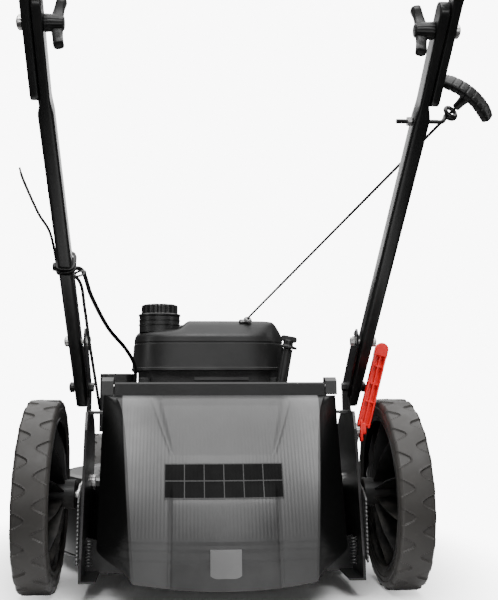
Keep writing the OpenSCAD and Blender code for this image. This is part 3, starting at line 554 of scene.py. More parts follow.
FINISHES = {
    "deck_paint": coated("deck_paint", grey(0.004), grey(0.008), 0.26, 0.00006, coat=0.1,
                         coat_rough=0.2),
    "bracket_paint": coated("bracket_paint", grey(0.003), grey(0.006), 0.24, 0.00005, coat=0.1,
                            coat_rough=0.15),
    "tube_paint": coated("tube_paint", grey(0.008), grey(0.014), 0.26, 0.00004, coat=0.15,
                         coat_rough=0.12),
    "door_plastic": door_skin(),
    "label_film": moulded("label_film", grey(0.002), grey(0.004), 0.5, 0.1, 900.0, 0.00003,
                          specular=0.06),
    "label_line": moulded("label_line", grey(0.03), grey(0.05), 0.45, 0.1, 900.0, 0.00003,
                          specular=0.2),
    "tab_plastic": moulded("tab_plastic", grey(0.09), grey(0.12), 0.38, 0.1, 1300.0, 0.00005),
    "dark_steel": plated("dark_steel", grey(0.03), grey(0.10), 0.3),
    "zinc": plated("zinc", grey(0.42, 0.01), grey(0.72, 0.015), 0.22),
    "steel": plated("steel", grey(0.30), grey(0.5), 0.28),
    "foam": foam("foam"),
    "knob_plastic": moulded("knob_plastic", grey(0.006), grey(0.012), 0.34, 0.16, 1200.0,
                            0.00006),
    "grip_plastic": moulded("grip_plastic", grey(0.005), grey(0.010), 0.33, 0.18, 1300.0,
                            0.00006),
    "cap_plastic": moulded("cap_plastic", grey(0.003), grey(0.008), 0.26, 0.16, 1000.0, 0.00004),
    "cover_plastic": moulded("cover_plastic", grey(0.010), grey(0.016), 0.32, 0.14, 1100.0,
                             0.00006),
    "cable_jacket": moulded("cable_jacket", grey(0.003), grey(0.007), 0.30, 0.2, 800.0,
                            0.00004),
    "rim_plastic": moulded("rim_plastic", grey(0.002), grey(0.005), 0.36, 0.2, 900.0, 0.00006,
                           dust=0.25),
    "red_plastic": moulded("red_plastic", (0.62, 0.004, 0.006, 1.0), (0.8, 0.012, 0.012, 1.0),
                           0.28, 0.14, 900.0, 0.00005),
    "engine_casting": cast("engine_casting", grey(0.012), grey(0.03), 0.55, 620.0, 0.25),
    "cast_metal": cast("cast_metal", grey(0.28), grey(0.46), 0.42, 700.0, 0.85),
    "tyre_rubber": rubber("tyre_rubber"),
    "rope": cordage("rope"),
}

# ---- wheels ----

def tyre(side, which, pockets):
    """A tyre turned round its axle.

    The tread's radius is r less a slight crown and rounded shoulders, and less a pocket wherever
    a rounded triangle, with its base on a shoulder and its tip near the middle, covers the place.
    """
    node = f"tyre_{which}_{'left' if side == LEFT else 'right'}"
    low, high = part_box(node)
    x, y, z = middle(node)
    r, w = (high[2] - low[2]) / 2, high[0] - low[0]
    bead = r - 27 * MM
    t = np.linspace(0, 1, 58)
    tread = np.stack([r - 0.5 * MM * (2 * t - 1) ** 2, t * w], -1)
    edge = np.minimum(t, 1 - t) * w
    tread[:, 0] -= 4.5 * MM * np.clip(1 - edge / (4.5 * MM), 0, 1) ** 2
    wall = np.array([(r - 11 * MM, w), (r - 12.2 * MM, w - 0.8 * MM), (r - 13 * MM, w),
                     (bead + 9 * MM, w), (bead + 8 * MM, w - 1 * MM), (bead + 6 * MM, w - 1 * MM),
                     (bead + 4 * MM, w - 2 * MM), (bead, w - 3 * MM)])
    inner = wall[::-1] * (1, -1) + (0, w)
    profile = np.concatenate([tread, wall, inner])
    reach, half = 0.43 * w, 0.33 * 2 * math.pi * r / pockets
    pitch = 2 * math.pi * r / pockets

    def ripple(row, turn):
        depth = 0.0
        across = np.where(row < 58, row / 57 * w, -1.0)
        for shoulder, shift in ((across, 0.0), (w - across, 0.5)):
            arc = ((turn * r / pitch + shift) % 1 - 0.5) * pitch
            slope = (np.abs(arc) - half * (1 - shoulder / (reach * 1.25)))
            tip = shoulder - reach
            soft = 2.2 * MM
            gap = soft * np.logaddexp(slope / soft, tip / soft)
            depth = depth + smoothstep(-gap, 0.1 * MM, 1.3 * MM)
            depth = depth - 0.35 * smoothstep(-np.abs(gap + 0.2 * MM), -1.1 * MM, 0.0)
        depth = np.where((row < 58) & (across > -0.5), depth, 0.0)
        return -2.0 * MM * depth, np.zeros_like(depth)

    shape = revolve(Shape(), profile - (0, w / 2), (x, y, z), (1, 0, 0), 26 * pockets, ripple,
                    closed=True)
    way = "left" if side == LEFT else "right"
    piece(f"{which}_tyre_{way}", shape, f"wheel_{which}_{way}", "tyre_rubber", [node], 30)


def rim(side, which, spokes):
    """A moulded wheel: a dished disc with raised spokes, a rolled lip, ribs behind and a hub."""
    way = "left" if side == LEFT else "right"
    node = f"rim_{which}_{way}"
    low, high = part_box(node)
    _, y, z = middle(node)
    ring = (high[2] - low[2]) / 2
    tyre_low, tyre_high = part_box(f"tyre_{which}_{way}")
    near, far = sorted((abs(tyre_low[0]), abs(tyre_high[0])))
    hub_in = min(abs(low[0]), abs(high[0])) + 0.6 * MM
    disc = far - 17 * MM
    hub, bore, skin = 21 * MM, 6.4 * MM, 4 * MM
    face = np.linspace(ring - skin, hub + 3 * MM, 40)
    back = face[::-1]
    profile = np.concatenate([
        [(bore, hub_in), (hub - 1.5 * MM, hub_in), (hub, hub_in + 1.5 * MM),
         (hub, disc - 1 * MM)],
        np.stack([back, np.full(40, disc)], -1),
        [(ring - skin, near + 5 * MM), (ring - 6 * MM, near + 3 * MM),
         (ring - 4 * MM, near + 1.4 * MM), (ring - 1 * MM, near + 1.4 * MM),
         (ring, near + 3.4 * MM), (ring, far - 3.4 * MM), (ring - 1 * MM, far - 1.4 * MM),
         (ring - 4 * MM, far - 1.4 * MM), (ring - 6 * MM, far - 3 * MM),
         (ring - skin, far - 5 * MM)],
        np.stack([face, np.full(40, disc + 4 * MM)], -1),
        [(hub, far - 6.5 * MM), (hub - 2 * MM, far - 4.6 * MM), (11 * MM, far - 4.6 * MM),
         (bore, far - 5.6 * MM)]])
    first = 4 + 40 + 10

    def ripple(row, turn):
        radius = profile[:, 0][row]
        wave = np.cos(spokes * turn)
        arm = smoothstep(wave, 0.1, 0.55)
        ends = smoothstep(radius, hub + 4 * MM, hub + 12 * MM) * (
            1 - smoothstep(radius, ring - 14 * MM, ring - 7 * MM))
        lift = (arm - 1) * ends * 4.5 * MM + 6 * MM
        lift = lift + 1.2 * MM * smoothstep(wave, 0.9, 0.97) * ends
        on_face = (row >= first) & (row < first + 40)
        fade = smoothstep(radius, hub + 1 * MM, hub + 5 * MM) * (
            1 - smoothstep(radius, ring - 9 * MM, ring - 4.2 * MM))
        return np.zeros_like(lift), np.where(on_face, lift * fade, 0.0)

    shape = revolve(Shape(), profile, (0, y, z), (side, 0, 0), 160, ripple, closed=True)
    ribs = 10
    for k in range(ribs):
        a = 2 * math.pi * (k + 0.5) / ribs
        out = np.array([0.0, math.cos(a), math.sin(a)])
        depth = np.array([[hub - 1 * MM, hub_in + 16 * MM], [hub - 1 * MM, disc + 1 * MM],
                          [ring - 3 * MM, disc + 1 * MM], [ring - 3 * MM, near + 11 * MM],
                          [(hub + ring) / 2, hub_in + 22 * MM]])
        plate(shape, depth, -1.4 * MM, 1.4 * MM, 0.5 * MM, (0, y, z), out, (side, 0, 0))
    piece(f"{which}_wheel_{way}", shape, f"wheel_{which}_{way}", "rim_plastic", [node], 35)


# ---- rear door ----

def door_half(s):
    """Half width of the door's rear face at a share s of its fall."""
    return (127 + 22 * (1 - s) + 15 * np.exp(-12 * s)) * MM


def door_face(x, s):
    """How far the rear face stands behind the hinge: a bow, a recess between two ridges above,
    a raised panel with three steps below, and fine upright ribs."""
    a = np.abs(x) / MM
    half = door_half(s) / MM
    ridge = 73 + 33 * np.clip(1 - s / 0.34, 0, 1)
    fall = np.clip(1 - s / 0.34, 0, 1)
    face = 9 + 121 * s ** 0.55 + 18 * s * (1 - (a / half) ** 2)
    depth = fall * (5.2 + 6.5 * np.clip(s / 0.06, 0, 1)) + 0.9 * np.sqrt(fall)
    face = face - depth * (1 - smoothstep(a, ridge - 3 - 15 * fall, ridge - 0.5))
    bead = 1.4 * np.exp(-((a - ridge - 1.5) / 2.4) ** 2) * (s < 0.34) * np.sqrt(fall + 0.05)
    panel = smoothstep(s, 0.48, 0.6) / (1 + np.exp((a - 72 - 5 * s) / 0.9))
    steps = sum(0.9 * smoothstep(s, at, at + 0.006) for at in (0.795, 0.832, 0.885))
    ribs = 0.10 * np.cos(2 * math.pi * a / 5.2) * (1 - smoothstep(s, 0.76, 0.79))
    ribs = ribs * (1 - smoothstep(a, half - 8, half - 4))
    return (face + bead + 3.6 * panel - steps + ribs) * MM


def make_door():
    """The door's wall: levels from top to bottom, each running round the outside and back
    along the inside. The side arms fold forwards from the face, and taper off near the foot."""
    top, bottom, side, wall = 286 * MM, 38 * MM, 180.6 * MM, 3 * MM
    rows = 150
    s = (np.linspace(0, 1, rows) ** 1.15)[:, None]
    z = top - (top - bottom) * s
    u = np.concatenate([[-1.0], np.linspace(-0.985, 0.985, 225), [1.0]])[None, :]
    half = door_half(s)
    x = u * half
    face = door_face(x, s)
    round_off = 2.0 * MM * np.clip((np.abs(u) - 0.985) / 0.015, 0, 1)
    foot = 8 * MM * (1 - (u * 0.9) ** 2) * smoothstep(s, 0.9, 1.0)
    outer = np.stack([x, -(face - round_off), z - foot + 0 * x], -1)
    inner = np.stack([x * (1 - wall / half), -(face - round_off) + wall, z - foot + 0 * x], -1)
    cut = smoothstep(s, 0.86, 1.0)
    lead = 0.012 + 0.075 * s
    lead = np.minimum(lead, 0.075)
    arms = []
    for way in (-1, 1):
        fold = np.linspace(0, 1, 8)[None, 1:]
        edge = door_face(half, s) - 2 * MM
        far_x = half + (side - half) * (1 - cut * 0.96)
        far_y = lead + (edge - lead) * cut * 0.96 - 7 * MM * (1 - cut)
        ax = half + (far_x - half) * fold
        bow = 3 * MM * np.sin(fold * math.pi) * (1 - cut)
        ay = edge + (far_y - edge) * fold + bow
        out = np.stack([way * ax, -ay, z + 0 * ax], -1)
        run = unit(np.stack([way * (far_x - half), -(far_y - edge), 0 * z], -1) + 1e-9)
        normal = np.stack([-way * np.abs(run[..., 1]), np.abs(run[..., 0]) * 0.2, 0 * z], -1)
        inn = out + normal * wall
        arms.append((out, inn))
    (left_out, left_in), (right_out, right_in) = arms
    ring = np.concatenate([left_out[:, ::-1], outer, right_out, right_in[:, ::-1],
                           inner[:, ::-1], left_in], 1)
    count = ring.shape[1]
    faces = grid_faces(rows, count, False, True)
    k = np.arange(count // 2 - 1)
    strip = np.stack([k, k + 1, count - 2 - k, count - 1 - k], -1)
    shape = Shape().add(ring, faces, strip, strip[:, ::-1] + (rows - 1) * count)

    lip = np.array([[-8.6, 284.0], [-8.8, 303.5], [-6.2, 306.2], [3.6, 306.2], [3.6, 303.8],
                    [-5.0, 303.6], [-5.8, 301.0], [-5.8, 284.0]]) * MM
    plate(shape, lip, -164 * MM, 164 * MM, 0.5 * MM, (0, 0, 0), (0, 1, 0), (0, 0, 1), (1, 0, 0))
    for k in range(5):
        centre = (k - 2) * 66 * MM
        revolve(shape, [(3.3 * MM, -14 * MM), (5.0 * MM, -14 * MM), (5.5 * MM, -13.4 * MM),
                        (5.5 * MM, 13.4 * MM), (5.0 * MM, 14 * MM), (3.3 * MM, 14 * MM)],
                (centre, 3 * MM, 300 * MM), (1, 0, 0), 36, closed=True)
    piece("rear_door_shell", shape, "rear_door", "door_plastic", ["door"], 28)

    tab = Shape()
    rows, s = 30, np.linspace(0, 1, 30)
    z = (81 - 49 * s) * MM
    run = np.linspace(-1, 1, 25)
    half_tab = 21.4 * MM
    ledge = (door_face(0 * s, np.full(30, 0.9)) + 3.4 * MM - 2.2 * MM * (1 - s) ** 3)[:, None]
    crown = 1.2 * MM * (1 - run ** 4)[None, :]
    tab_t = 7 * MM
    outer = np.stack(np.broadcast_arrays(run[None, :] * half_tab, -(ledge + crown), z[:, None]), -1)
    inner = outer + (0, tab_t, 0)
    ring = np.concatenate([outer, inner[:, ::-1]], 1)
    k = np.arange(24)
    strip = np.stack([k, k + 1, 48 - k, 49 - k], -1)
    tab.add(ring, grid_faces(rows, 50, False, True), strip, strip[:, ::-1] + 29 * 50)
    piece("door_pull_tab", tab, "rear_door", "tab_plastic")

    film, lines = Shape(), Shape()
    frame_half, cells = 84.5 * MM, 6
    low_s, high_s = (286 - 190) / 248, (286 - 145) / 248

    def strip_on_door(label, x0, x1, s0, s1, rise, steps):
        """A thin raised patch that follows the door's face between two sides and two heights."""
        sx = np.linspace(x0, x1, steps)[None, :]
        ss = np.linspace(s0, s1, max(steps // 3, 3))[:, None]
        z = top - (top - bottom) * ss + 0 * sx
        x = sx + 0 * ss
        face = door_face(x, ss)
        front = np.stack([x, -(face + rise), z], -1)
        rear = np.stack([x, -(face - 0.6 * MM), z], -1)
        r, c = x.shape
        rim = np.concatenate([np.arange(c), np.arange(1, r) * c + c - 1,
                              (r - 1) * c + np.arange(c - 2, -1, -1), np.arange(r - 2, 0, -1) * c])
        after = np.roll(rim, -1)
        sides = np.stack([rim, after, after + r * c, rim + r * c], -1)
        grid = grid_faces(r, c)
        label.add(np.concatenate([front.reshape(-1, 3), rear.reshape(-1, 3)]), grid,
                  grid[:, ::-1] + r * c, sides[:, ::-1])

    strip_on_door(film, -frame_half, frame_half, low_s, high_s, 0.5 * MM, 120)
    width = 2 * frame_half / cells
    for k in range(cells + 1):
        x0 = -frame_half + k * width
        strip_on_door(lines, x0 - 0.7 * MM, x0 + 0.7 * MM, low_s, high_s, 0.9 * MM, 4)
    for k in range(3):
        at = low_s + (high_s - low_s) * k / 2
        strip_on_door(lines, -frame_half - 0.7 * MM, frame_half + 0.7 * MM, at - 0.003, at + 0.003,
                      0.9 * MM, 120)
    piece("door_grid_panel", film, "rear_door", "label_film")
    piece("door_grid_lines", lines, "rear_door", "label_line")


# ---- engine ----

COVER = (-8 * MM, 300 * MM)


def make_cover():
    """The engine cover: outlines that follow a rounded square, one above the other.

    Each row has an inset and a height. The top rises by a smooth step over the starter's side,
    and slots run outwards round the starter.
    """
    half, corner = 142.5 * MM, 4.2
    rounding = np.linspace(0, math.pi / 2, 14)
    rows = [(1.2, 328.0), (0.0, 328.8), (0.0, 333.0), (1.0, 334.0)]
    rows += [(1.0 + 2.2 * t, 334 + 41 * t) for t in np.linspace(0.05, 1, 12)]
    rows += [(4.6, 376.3), (4.8, 378.2), (3.8, 379.4), (4.0, 381.0)]
    rows += [(4.4 + 17 * (1 - math.cos(a)), 384 + 17 * math.sin(a)) for a in rounding]
    rows = np.array(rows)
    inward = np.linspace(22.8, 140.5, 84)
    rows = np.concatenate([rows, np.stack([inward, 401 + 1.2 * (1 - ((142.5 - inward) / 121) ** 2)],
                                          -1)]) * MM
    turn = np.arange(256) * 2 * math.pi / 256
    reach = (half - rows[:, :1])
    cx = np.sign(np.cos(turn)) * np.abs(np.cos(turn)) ** (2 / corner)
    cy = np.sign(np.sin(turn)) * np.abs(np.sin(turn)) ** (2 / corner)
    x, y = reach * cx, reach * cy
    z = rows[:, 1:] + 0 * x
    side = smoothstep(x, -62 * MM, -36 * MM)
    ends = 1 - smoothstep(np.abs(y), 112 * MM, 138 * MM)
    right_end = 1 - smoothstep(x, 112 * MM, 139 * MM)
    lift = side * ends * right_end * smoothstep(z, 384 * MM, 401 * MM)
    z = z + 15.5 * MM * lift
    from_shaft = np.hypot(x - 8 * MM, y)
    spin = np.arctan2(y, x - 8 * MM)
    slot_mask = smoothstep(np.cos(28 * spin), 0.0, 0.5) * smoothstep(from_shaft, 34 * MM, 36 * MM)
    slot_mask = slot_mask * (1 - smoothstep(from_shaft, 70 * MM, 72 * MM))
    ring_mask = np.exp(-((from_shaft - 78 * MM) / (1.6 * MM)) ** 2)
    z = z - (2.4 * slot_mask + 1.2 * ring_mask) * MM * (z > 400 * MM)
    points = np.stack([x + COVER[0], y + COVER[1], z], -1)
    count = len(rows)
    last = count * 256
    points = np.concatenate([points.reshape(-1, 3),
                             [[COVER[0], COVER[1], float(z[-1].mean())]]])
    shape = Shape().add(points, grid_faces(count, 256, False, True),
                        fan(np.arange(256) + last - 256, last), closed=False)
    cover = piece("cover_shell", shape, "chassis", "cover_plastic", ["engine_cover"], 35)
    wall = cover.modifiers.new("wall", "SOLIDIFY")
    wall.thickness = 2.6 * MM
    wall.offset = -1.0

    post = Shape()
    for k in range(4):
        a = math.radians(45 + 90 * k)
        revolve(post, [(6.4 * MM, 296 * MM), (7 * MM, 297 * MM), (6.4 * MM, 345 * MM)],
                (112 * MM * math.cos(a), COVER[1] + 112 * MM * math.sin(a), 0), (0, 0, 1), 24)
    piece("cover_posts", post, "chassis", "engine_casting")

    eye = Shape()
    spot = np.array((60, 178, 418)) * MM
    revolve(eye, [(6.5 * MM, -2 * MM), (7.6 * MM, -1 * MM), (7.6 * MM, 1 * MM), (5.6 * MM, 3.4 * MM),
                  (3.4 * MM, 3.6 * MM), (2.6 * MM, 1 * MM), (2.8 * MM, -2 * MM)],
            spot, (0.2, -0.55, 0.8), 32, closed=True)
    block(eye, spot + np.array((-8, 4, -2)) * MM, (15 * MM, 13 * MM, 6 * MM), 3 * MM, 1.2 * MM)
    piece("rope_eyelet", eye, "chassis", "cast_metal")

    clip = Shape()
    housing = Shape()
    block(housing, np.array((-8, 300, 313)) * MM, (258 * MM, 256 * MM, 33 * MM), 52 * MM, 2 * MM)
    for k in range(4):
        turn = math.radians(45 + 90 * k)
        reach = np.array((math.cos(turn), math.sin(turn), 0)) * 163
        block(housing, (reach + (-8, 300, 307)) * MM, (20 * MM, 20 * MM, 18 * MM), 6 * MM, 1.5 * MM)
    piece("fan_housing", housing, "chassis", "engine_casting")
    strip = Shape()
    block(strip, np.array((12, 170.6, 314)) * MM, (96 * MM, 6 * MM, 2.4 * MM), 1 * MM, 0.4 * MM,
          (1, 0, 0), (0, 0, 1))
    piece("plain_plate", strip, "chassis", "label_line")
    block(clip, np.array((-38, 203, 406)) * MM, (13 * MM, 9 * MM, 10 * MM), 2 * MM, 1 * MM)
    block(clip, np.array((-47, 205, 409)) * MM, (9 * MM, 5 * MM, 5 * MM), 1.5 * MM, 0.8 * MM)
    piece("tank_clip", clip, "chassis", "knob_plastic")


def make_fuel_cap():
    """A lobed cap over a broad brim, and the ridged collar of the tank's neck below it."""
    x, y, _ = middle("fuel_cap")
    r = half_size("fuel_cap")[0]
    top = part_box("fuel_cap")[1][2]
    brim = top - 22.6 * MM
    rows = [(r - 8 * MM, brim - 10 * MM), (r - 8 * MM, brim + 0.4 * MM), (r - 1 * MM, brim + 0.4 * MM),
            (r, brim + 1.4 * MM), (r, brim + 3.6 * MM), (r - 1.2 * MM, brim + 4.8 * MM),
            (r - 5.5 * MM, brim + 5.4 * MM)]
    rows += [(r - 6.2 * MM, brim + h * MM) for h in np.linspace(6.2, 19, 14)]
    rows += [(r - 6.9 * MM, brim + 20.6 * MM), (r - 8.4 * MM, brim + 21.8 * MM),
             (r - 11 * MM, top - 0.2 * MM), (r - 15 * MM, top - 1.2 * MM), (12 * MM, top - 2.0 * MM),
             (2 * MM, top - 2.0 * MM)]
    rows = np.array(rows)

    def lobes(row, turn):
        on_grip = smoothstep(row, 5.5, 7.5) * (1 - smoothstep(row, 22.5, 24.5))
        wave = np.cos(10 * turn)
        cut = 4.2 * MM * smoothstep(-wave, 0.35, 0.8) - 1.0 * MM * smoothstep(wave, 0.2, 0.8)
        return -cut * on_grip, 0 * cut * on_grip

    shape = revolve(Shape(), rows, (x, y, 0), (0, 0, 1), 200, lobes)
    piece("fuel_cap_grip", shape, "filler_cap", "cap_plastic", ["fuel_cap"], 32)
    neck = Shape()
    foot = brim - 26 * MM
    ridges = [(6.5, 0), (1.5, 0), (1.5, 9), (0.4, 10), (0.4, 12), (1.8, 13), (1.8, 17), (0.8, 18),
              (0.8, 20), (2.2, 21), (2.2, 25.2), (6.5, 25.2)]
    rows = [(r - less * MM, foot + rise * MM) for less, rise in ridges]
    revolve(neck, rows, (x, y, 0), (0, 0, 1), 120, closed=True)
    sweep(neck, spline(np.array([(x / MM + 30, y / MM - 8, 402), (x / MM + 42, y / MM - 6, 406),
                                 (x / MM + 52, y / MM - 4, 402)]) * MM, 6), 6 * MM, 5 * MM,
          power=3, ends=3 * MM)
    piece("tank_neck_collar", neck, "chassis", "cap_plastic")


def make_dipstick():
    """The oil filler's cap: a knurled disc with a finger wing, tilted outwards on its tube."""
    out = unit((26, -10, 143))
    foot = np.array((129, 166, 366)) * MM + out * 0.4 * MM
    rows = [(7 * MM, -7 * MM), (7 * MM, 0.0), (15.6 * MM, 0.1 * MM), (16.8 * MM, 1.0 * MM),
            (16.8 * MM, 4.0 * MM), (15.6 * MM, 5.0 * MM), (10.4 * MM, 5.4 * MM), (9.2 * MM, 7 * MM),
            (8.8 * MM, 14 * MM), (7.6 * MM, 15.4 * MM), (2 * MM, 15.6 * MM)]

    def knurl(row, turn):
        return -0.7 * MM * smoothstep(np.cos(30 * turn), 0.1, 0.7) * ((row > 2) & (row < 5)), \
            0.0 * row * turn

    shape = revolve(Shape(), rows, foot, out, 180, knurl)
    u, _, w = axis_frame(out)
    block(shape, foot + w * 17 * MM, (29 * MM, 11 * MM, 6 * MM), 4.5 * MM, 1.2 * MM, u, w)
    revolve(shape, [(2 * MM, -118 * MM), (2 * MM, -7 * MM)], foot, out, 16)
    piece("oil_cap", shape, "oil_stick", "cap_plastic", ["dipstick"], 32)


# ---- handle ----

RISE = math.radians(39.3)
ALONG = np.array([0.0, -math.cos(RISE), math.sin(RISE)])
ABOVE = np.array([0.0, math.sin(RISE), math.cos(RISE)])
ACROSS = np.array([1.0, 0.0, 0.0])
PIVOT = np.array([0.0, 35.0, 299.0]) * MM
LOWER, UPPER_END = 633.0, 1153.0
TUBE_X, UPPER_X, FLAT_X = 219.5, 240.86, 228.66


def on_handle(x, along, above):
    """Places on the handle, in millimetres across, along its rise and above its middle line."""
    x, along, above = np.broadcast_arrays(*(np.asarray(v, float) for v in (x, along, above)))
    return PIVOT + MM * (x[..., None] * ACROSS + along[..., None] * ALONG
                         + above[..., None] * ABOVE)


def make_lower_tube(side):
    """A rounded oblong tube whose end is pressed flat: the section's half width shrinks by a
    smooth step, and its height closes as a half circle at the very end."""
    name = "left" if side == LEFT else "right"
    s = np.concatenate([np.linspace(-33, 500, 60), np.linspace(503, 545, 24),
                        np.linspace(550, 655, 16), 668 - 12.5 * (1 - np.sin(
                            np.linspace(0.05, 0.995, 14) * math.pi / 2))])
    press = smoothstep(s, 512, 540)
    x = (TUBE_X + s * math.sin(math.radians(1.2))) * (1 - press) + FLAT_X * press
    half_w = 10 * (1 - press) + 5.9 * press
    half_h = 12.5 * (1 + 0.06 * press * (1 - smoothstep(s, 640, 655)))
    half_h = np.minimum(half_h, 12.5) * np.sqrt(np.clip(1 - np.clip((s - 655.5) / 12.5, 0, 1) ** 2,
                                                       0.001, 1))
    shape = sweep(Shape(), on_handle(side * x, s, 0), half_w * MM, half_h * MM, ABOVE,
                  4.6 + 1.5 * press, 56, 0.6 * MM)
    plug = Shape()
    sweep(plug, on_handle(side * (TUBE_X - 0.7), np.array([-35.0, -33.2, -30.0]), 0), 9.2 * MM,
          11.6 * MM, ABOVE, 4.6, 40, 1.2 * MM)
    piece(f"lower_handle_tube_{name}", shape, "lower_handle", "tube_paint",
          [f"lower_tube_{name}"], 34)
    piece(f"tube_end_plug_{name}", plug, "lower_handle", "knob_plastic")


def make_upper_handle():
    """One tube swept up a leg, round a corner, across and down the other leg. Its section goes
    from a flat with a round end to a circle."""
    leg = np.concatenate([533 + 12.5 * (1 - np.cos(np.linspace(0.05, 1, 12) * math.pi / 2)),
                          np.linspace(550, 660, 14), np.linspace(664, 712, 24),
                          np.linspace(720, 1082, 40)])
    flat = 1 - smoothstep(leg, 668, 706)
    tip = np.sqrt(np.clip(1 - np.clip((545.5 - leg) / 12.5, 0, 1) ** 2, 0.001, 1))
    half_w, half_h = 5.9 * flat + 11 * (1 - flat), (12.5 * flat + 11 * (1 - flat)) * tip
    a = np.linspace(0, math.pi / 2, 22)[1:-1]
    arc_x, arc_s = UPPER_X - 70 + 70 * np.cos(a), 1083 + 70 * np.sin(a)
    bar_x = np.linspace(UPPER_X - 70, 0, 20)
    x = np.concatenate([np.full(len(leg), UPPER_X), arc_x, bar_x])
    s = np.concatenate([leg, arc_s, np.full(20, UPPER_END)])
    grow = np.full(len(x) - len(leg), 11.0)
    w, h = np.concatenate([half_w, grow]), np.concatenate([half_h, grow])
    p = np.concatenate([2 + 3.4 * flat, np.full(len(grow), 2.0)])
    x = np.concatenate([x, -x[-2::-1]])
    s, w, h, p = (np.concatenate([v, v[-2::-1]]) for v in (s, w, h, p))
    shape = sweep(Shape(), on_handle(x, s, 0), w * MM, h * MM, ABOVE, p, 40, 0.5 * MM)
    block(shape, on_handle(-UPPER_X, 958, 14.6), (24 * MM, 9 * MM, 9 * MM), 3 * MM, 1 * MM,
          ACROSS, ABOVE)
    piece("upper_handle_tube", shape, "upper_handle", "tube_paint", ["upper_handle"], 34)


def make_foam_grip():
    """A foam sleeve with soft rounded ends and a shallow seam at each quarter."""
    x = np.concatenate([[-150.0, -149.6, -148.2, -145.5, -142], np.linspace(-138, 138, 47),
                        [142, 145.5, 148.2, 149.6, 150.0]])
    edge = 150 - np.abs(x)
    radius = 11.4 + 3.5 * np.sqrt(np.clip(1 - np.clip(1 - edge / 8, 0, 1) ** 2, 0, 1))
    radius = radius - 0.25 * np.cos(x * 2 * math.pi / 75)
    shape = sweep(Shape(), on_handle(x, UPPER_END, 0), radius * MM, None, ABOVE, 2.0, 48)
    piece("foam_sleeve", shape, "upper_handle", "foam", ["foam_grip"], 40)


def make_bail():
    """The bail's wire: in from each leg, a tight corner, an arm, a wide corner and the bar."""
    lean = math.radians(45)
    pivot, arm_x, reach, bend = 1023.0, 222.86, 134.0, 30.0
    a = np.linspace(0, math.pi / 2, 14)
    x = np.concatenate([[UPPER_X - 6, UPPER_X - 9, arm_x + 6], arm_x + 4 - 4 * np.sin(a),
                        np.full(16, arm_x), arm_x - bend + bend * np.cos(a[1:]),
                        np.linspace(arm_x - bend, 0, 18)[1:]])
    h = np.concatenate([[0, 0, 0], 4 - 4 * np.cos(a), np.linspace(6, reach - bend, 16),
                        reach - bend + bend * np.sin(a[1:]), np.full(17, reach)])
    x, h = np.concatenate([x, -x[-2::-1]]), np.concatenate([h, h[-2::-1]])
    path = on_handle(x, pivot + h * math.cos(lean), h * math.sin(lean))
    shape = sweep(Shape(), path, 3.5 * MM, None, ABOVE * math.cos(lean) - ALONG * math.sin(lean),
                  2.0, 24)
    piece("bail_bar_wire", shape, "bail_bar", "tube_paint", ["bail"], 40)
    eye = Shape()
    spot = on_handle(-arm_x, pivot + 40 * math.cos(lean), 40 * math.sin(lean))
    arm = ALONG * math.cos(lean) + ABOVE * math.sin(lean)
    revolve(eye, [(3.4 * MM, -2 * MM), (4.8 * MM, -2 * MM), (5.2 * MM, 0.0), (4.8 * MM, 2 * MM),
                  (3.4 * MM, 2 * MM)], spot, arm, 28, closed=True)
    piece("bail_wire_eye", eye, "bail_bar", "zinc")


def make_knob(side):
    """A fluted hub with two curved wings: each wing is a section carried along a bent path, wide
    at the hub, thin at its middle and full at its tip."""
    name = "left" if side == LEFT else "right"
    low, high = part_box(f"knob_{name}")
    hub = on_handle(0, LOWER, 0)
    outer = 222.36 * MM
    inner = min(abs(low[0]), abs(high[0]))
    rows = [(4.6 * MM, outer), (9.6 * MM, outer), (10.6 * MM, outer - 1 * MM),
            (10.2 * MM, outer - 6 * MM), (9.6 * MM, outer - 16 * MM), (8.4 * MM, inner + 4.6 * MM),
            (7.0 * MM, inner + 3.6 * MM), (2 * MM, inner + 3.6 * MM)]

    def flutes(row, turn):
        return -0.5 * MM * smoothstep(np.cos(16 * turn), 0.2, 0.8) * ((row > 1) & (row < 5)), \
            0.0 * row * turn

    shape = revolve(Shape(), rows, (0, hub[1], hub[2]), (side, 0, 0), 96, flutes)
    t = np.linspace(0, 1, 26)
    for way in (-1, 1):
        up = way * 31.4 * MM * t
        forward = way * 7.5 * MM * t ** 1.6
        across = side * (inner + 12.0 * MM - 4.2 * MM * t ** 1.5)
        path = np.stack([across + 0 * t, hub[1] + forward, hub[2] + up], -1)
        thick = (6.4 - 3.2 * np.sin(np.clip(t * 1.25, 0, 1) * math.pi) + 0.4 * t) * MM
        deep = (8.6 - 2.3 * t - 1.2 * np.sin(t * math.pi)) * MM
        sweep(shape, path[:-2], deep[:-2], thick[:-2], (0, 1, 0), 3.0, 30, 2.6 * MM)
    piece(f"wing_knob_{name}", shape, f"knob_{name[0]}", "knob_plastic", [f"knob_{name}"], 38)


def make_bolt_heads():
    """Domed carriage-bolt heads outside the handle and at the pivots."""
    dome = [(1 * MM, 3.3 * MM), (4 * MM, 2.9 * MM), (6.4 * MM, 2.0 * MM), (8.0 * MM, 0.9 * MM),
            (8.9 * MM, 0.0), (8.9 * MM, -1.2 * MM), (3 * MM, -1.2 * MM)]
    heads, pivots = Shape(), Shape()
    for side, _ in SIDES:
        knob_head = on_handle(side * 250.6, LOWER, 0)
        revolve(heads, dome, knob_head, (side, 0, 0), 40)
        notch = on_handle(side * (TUBE_X + 10 + 4.0 + 2.24), 107, 0)
        revolve(heads, np.array(dome) * 0.9, notch, (side, 0, 0), 40)
        pivot = on_handle(side * 235.6, 0, 0)
        revolve(pivots, np.array(dome) * 0.95, pivot, (side, 0, 0), 40)
    piece("carriage_bolt_heads", heads, "lower_handle", "zinc")
    piece("pivot_bolt_heads", pivots, "chassis", "knob_plastic")


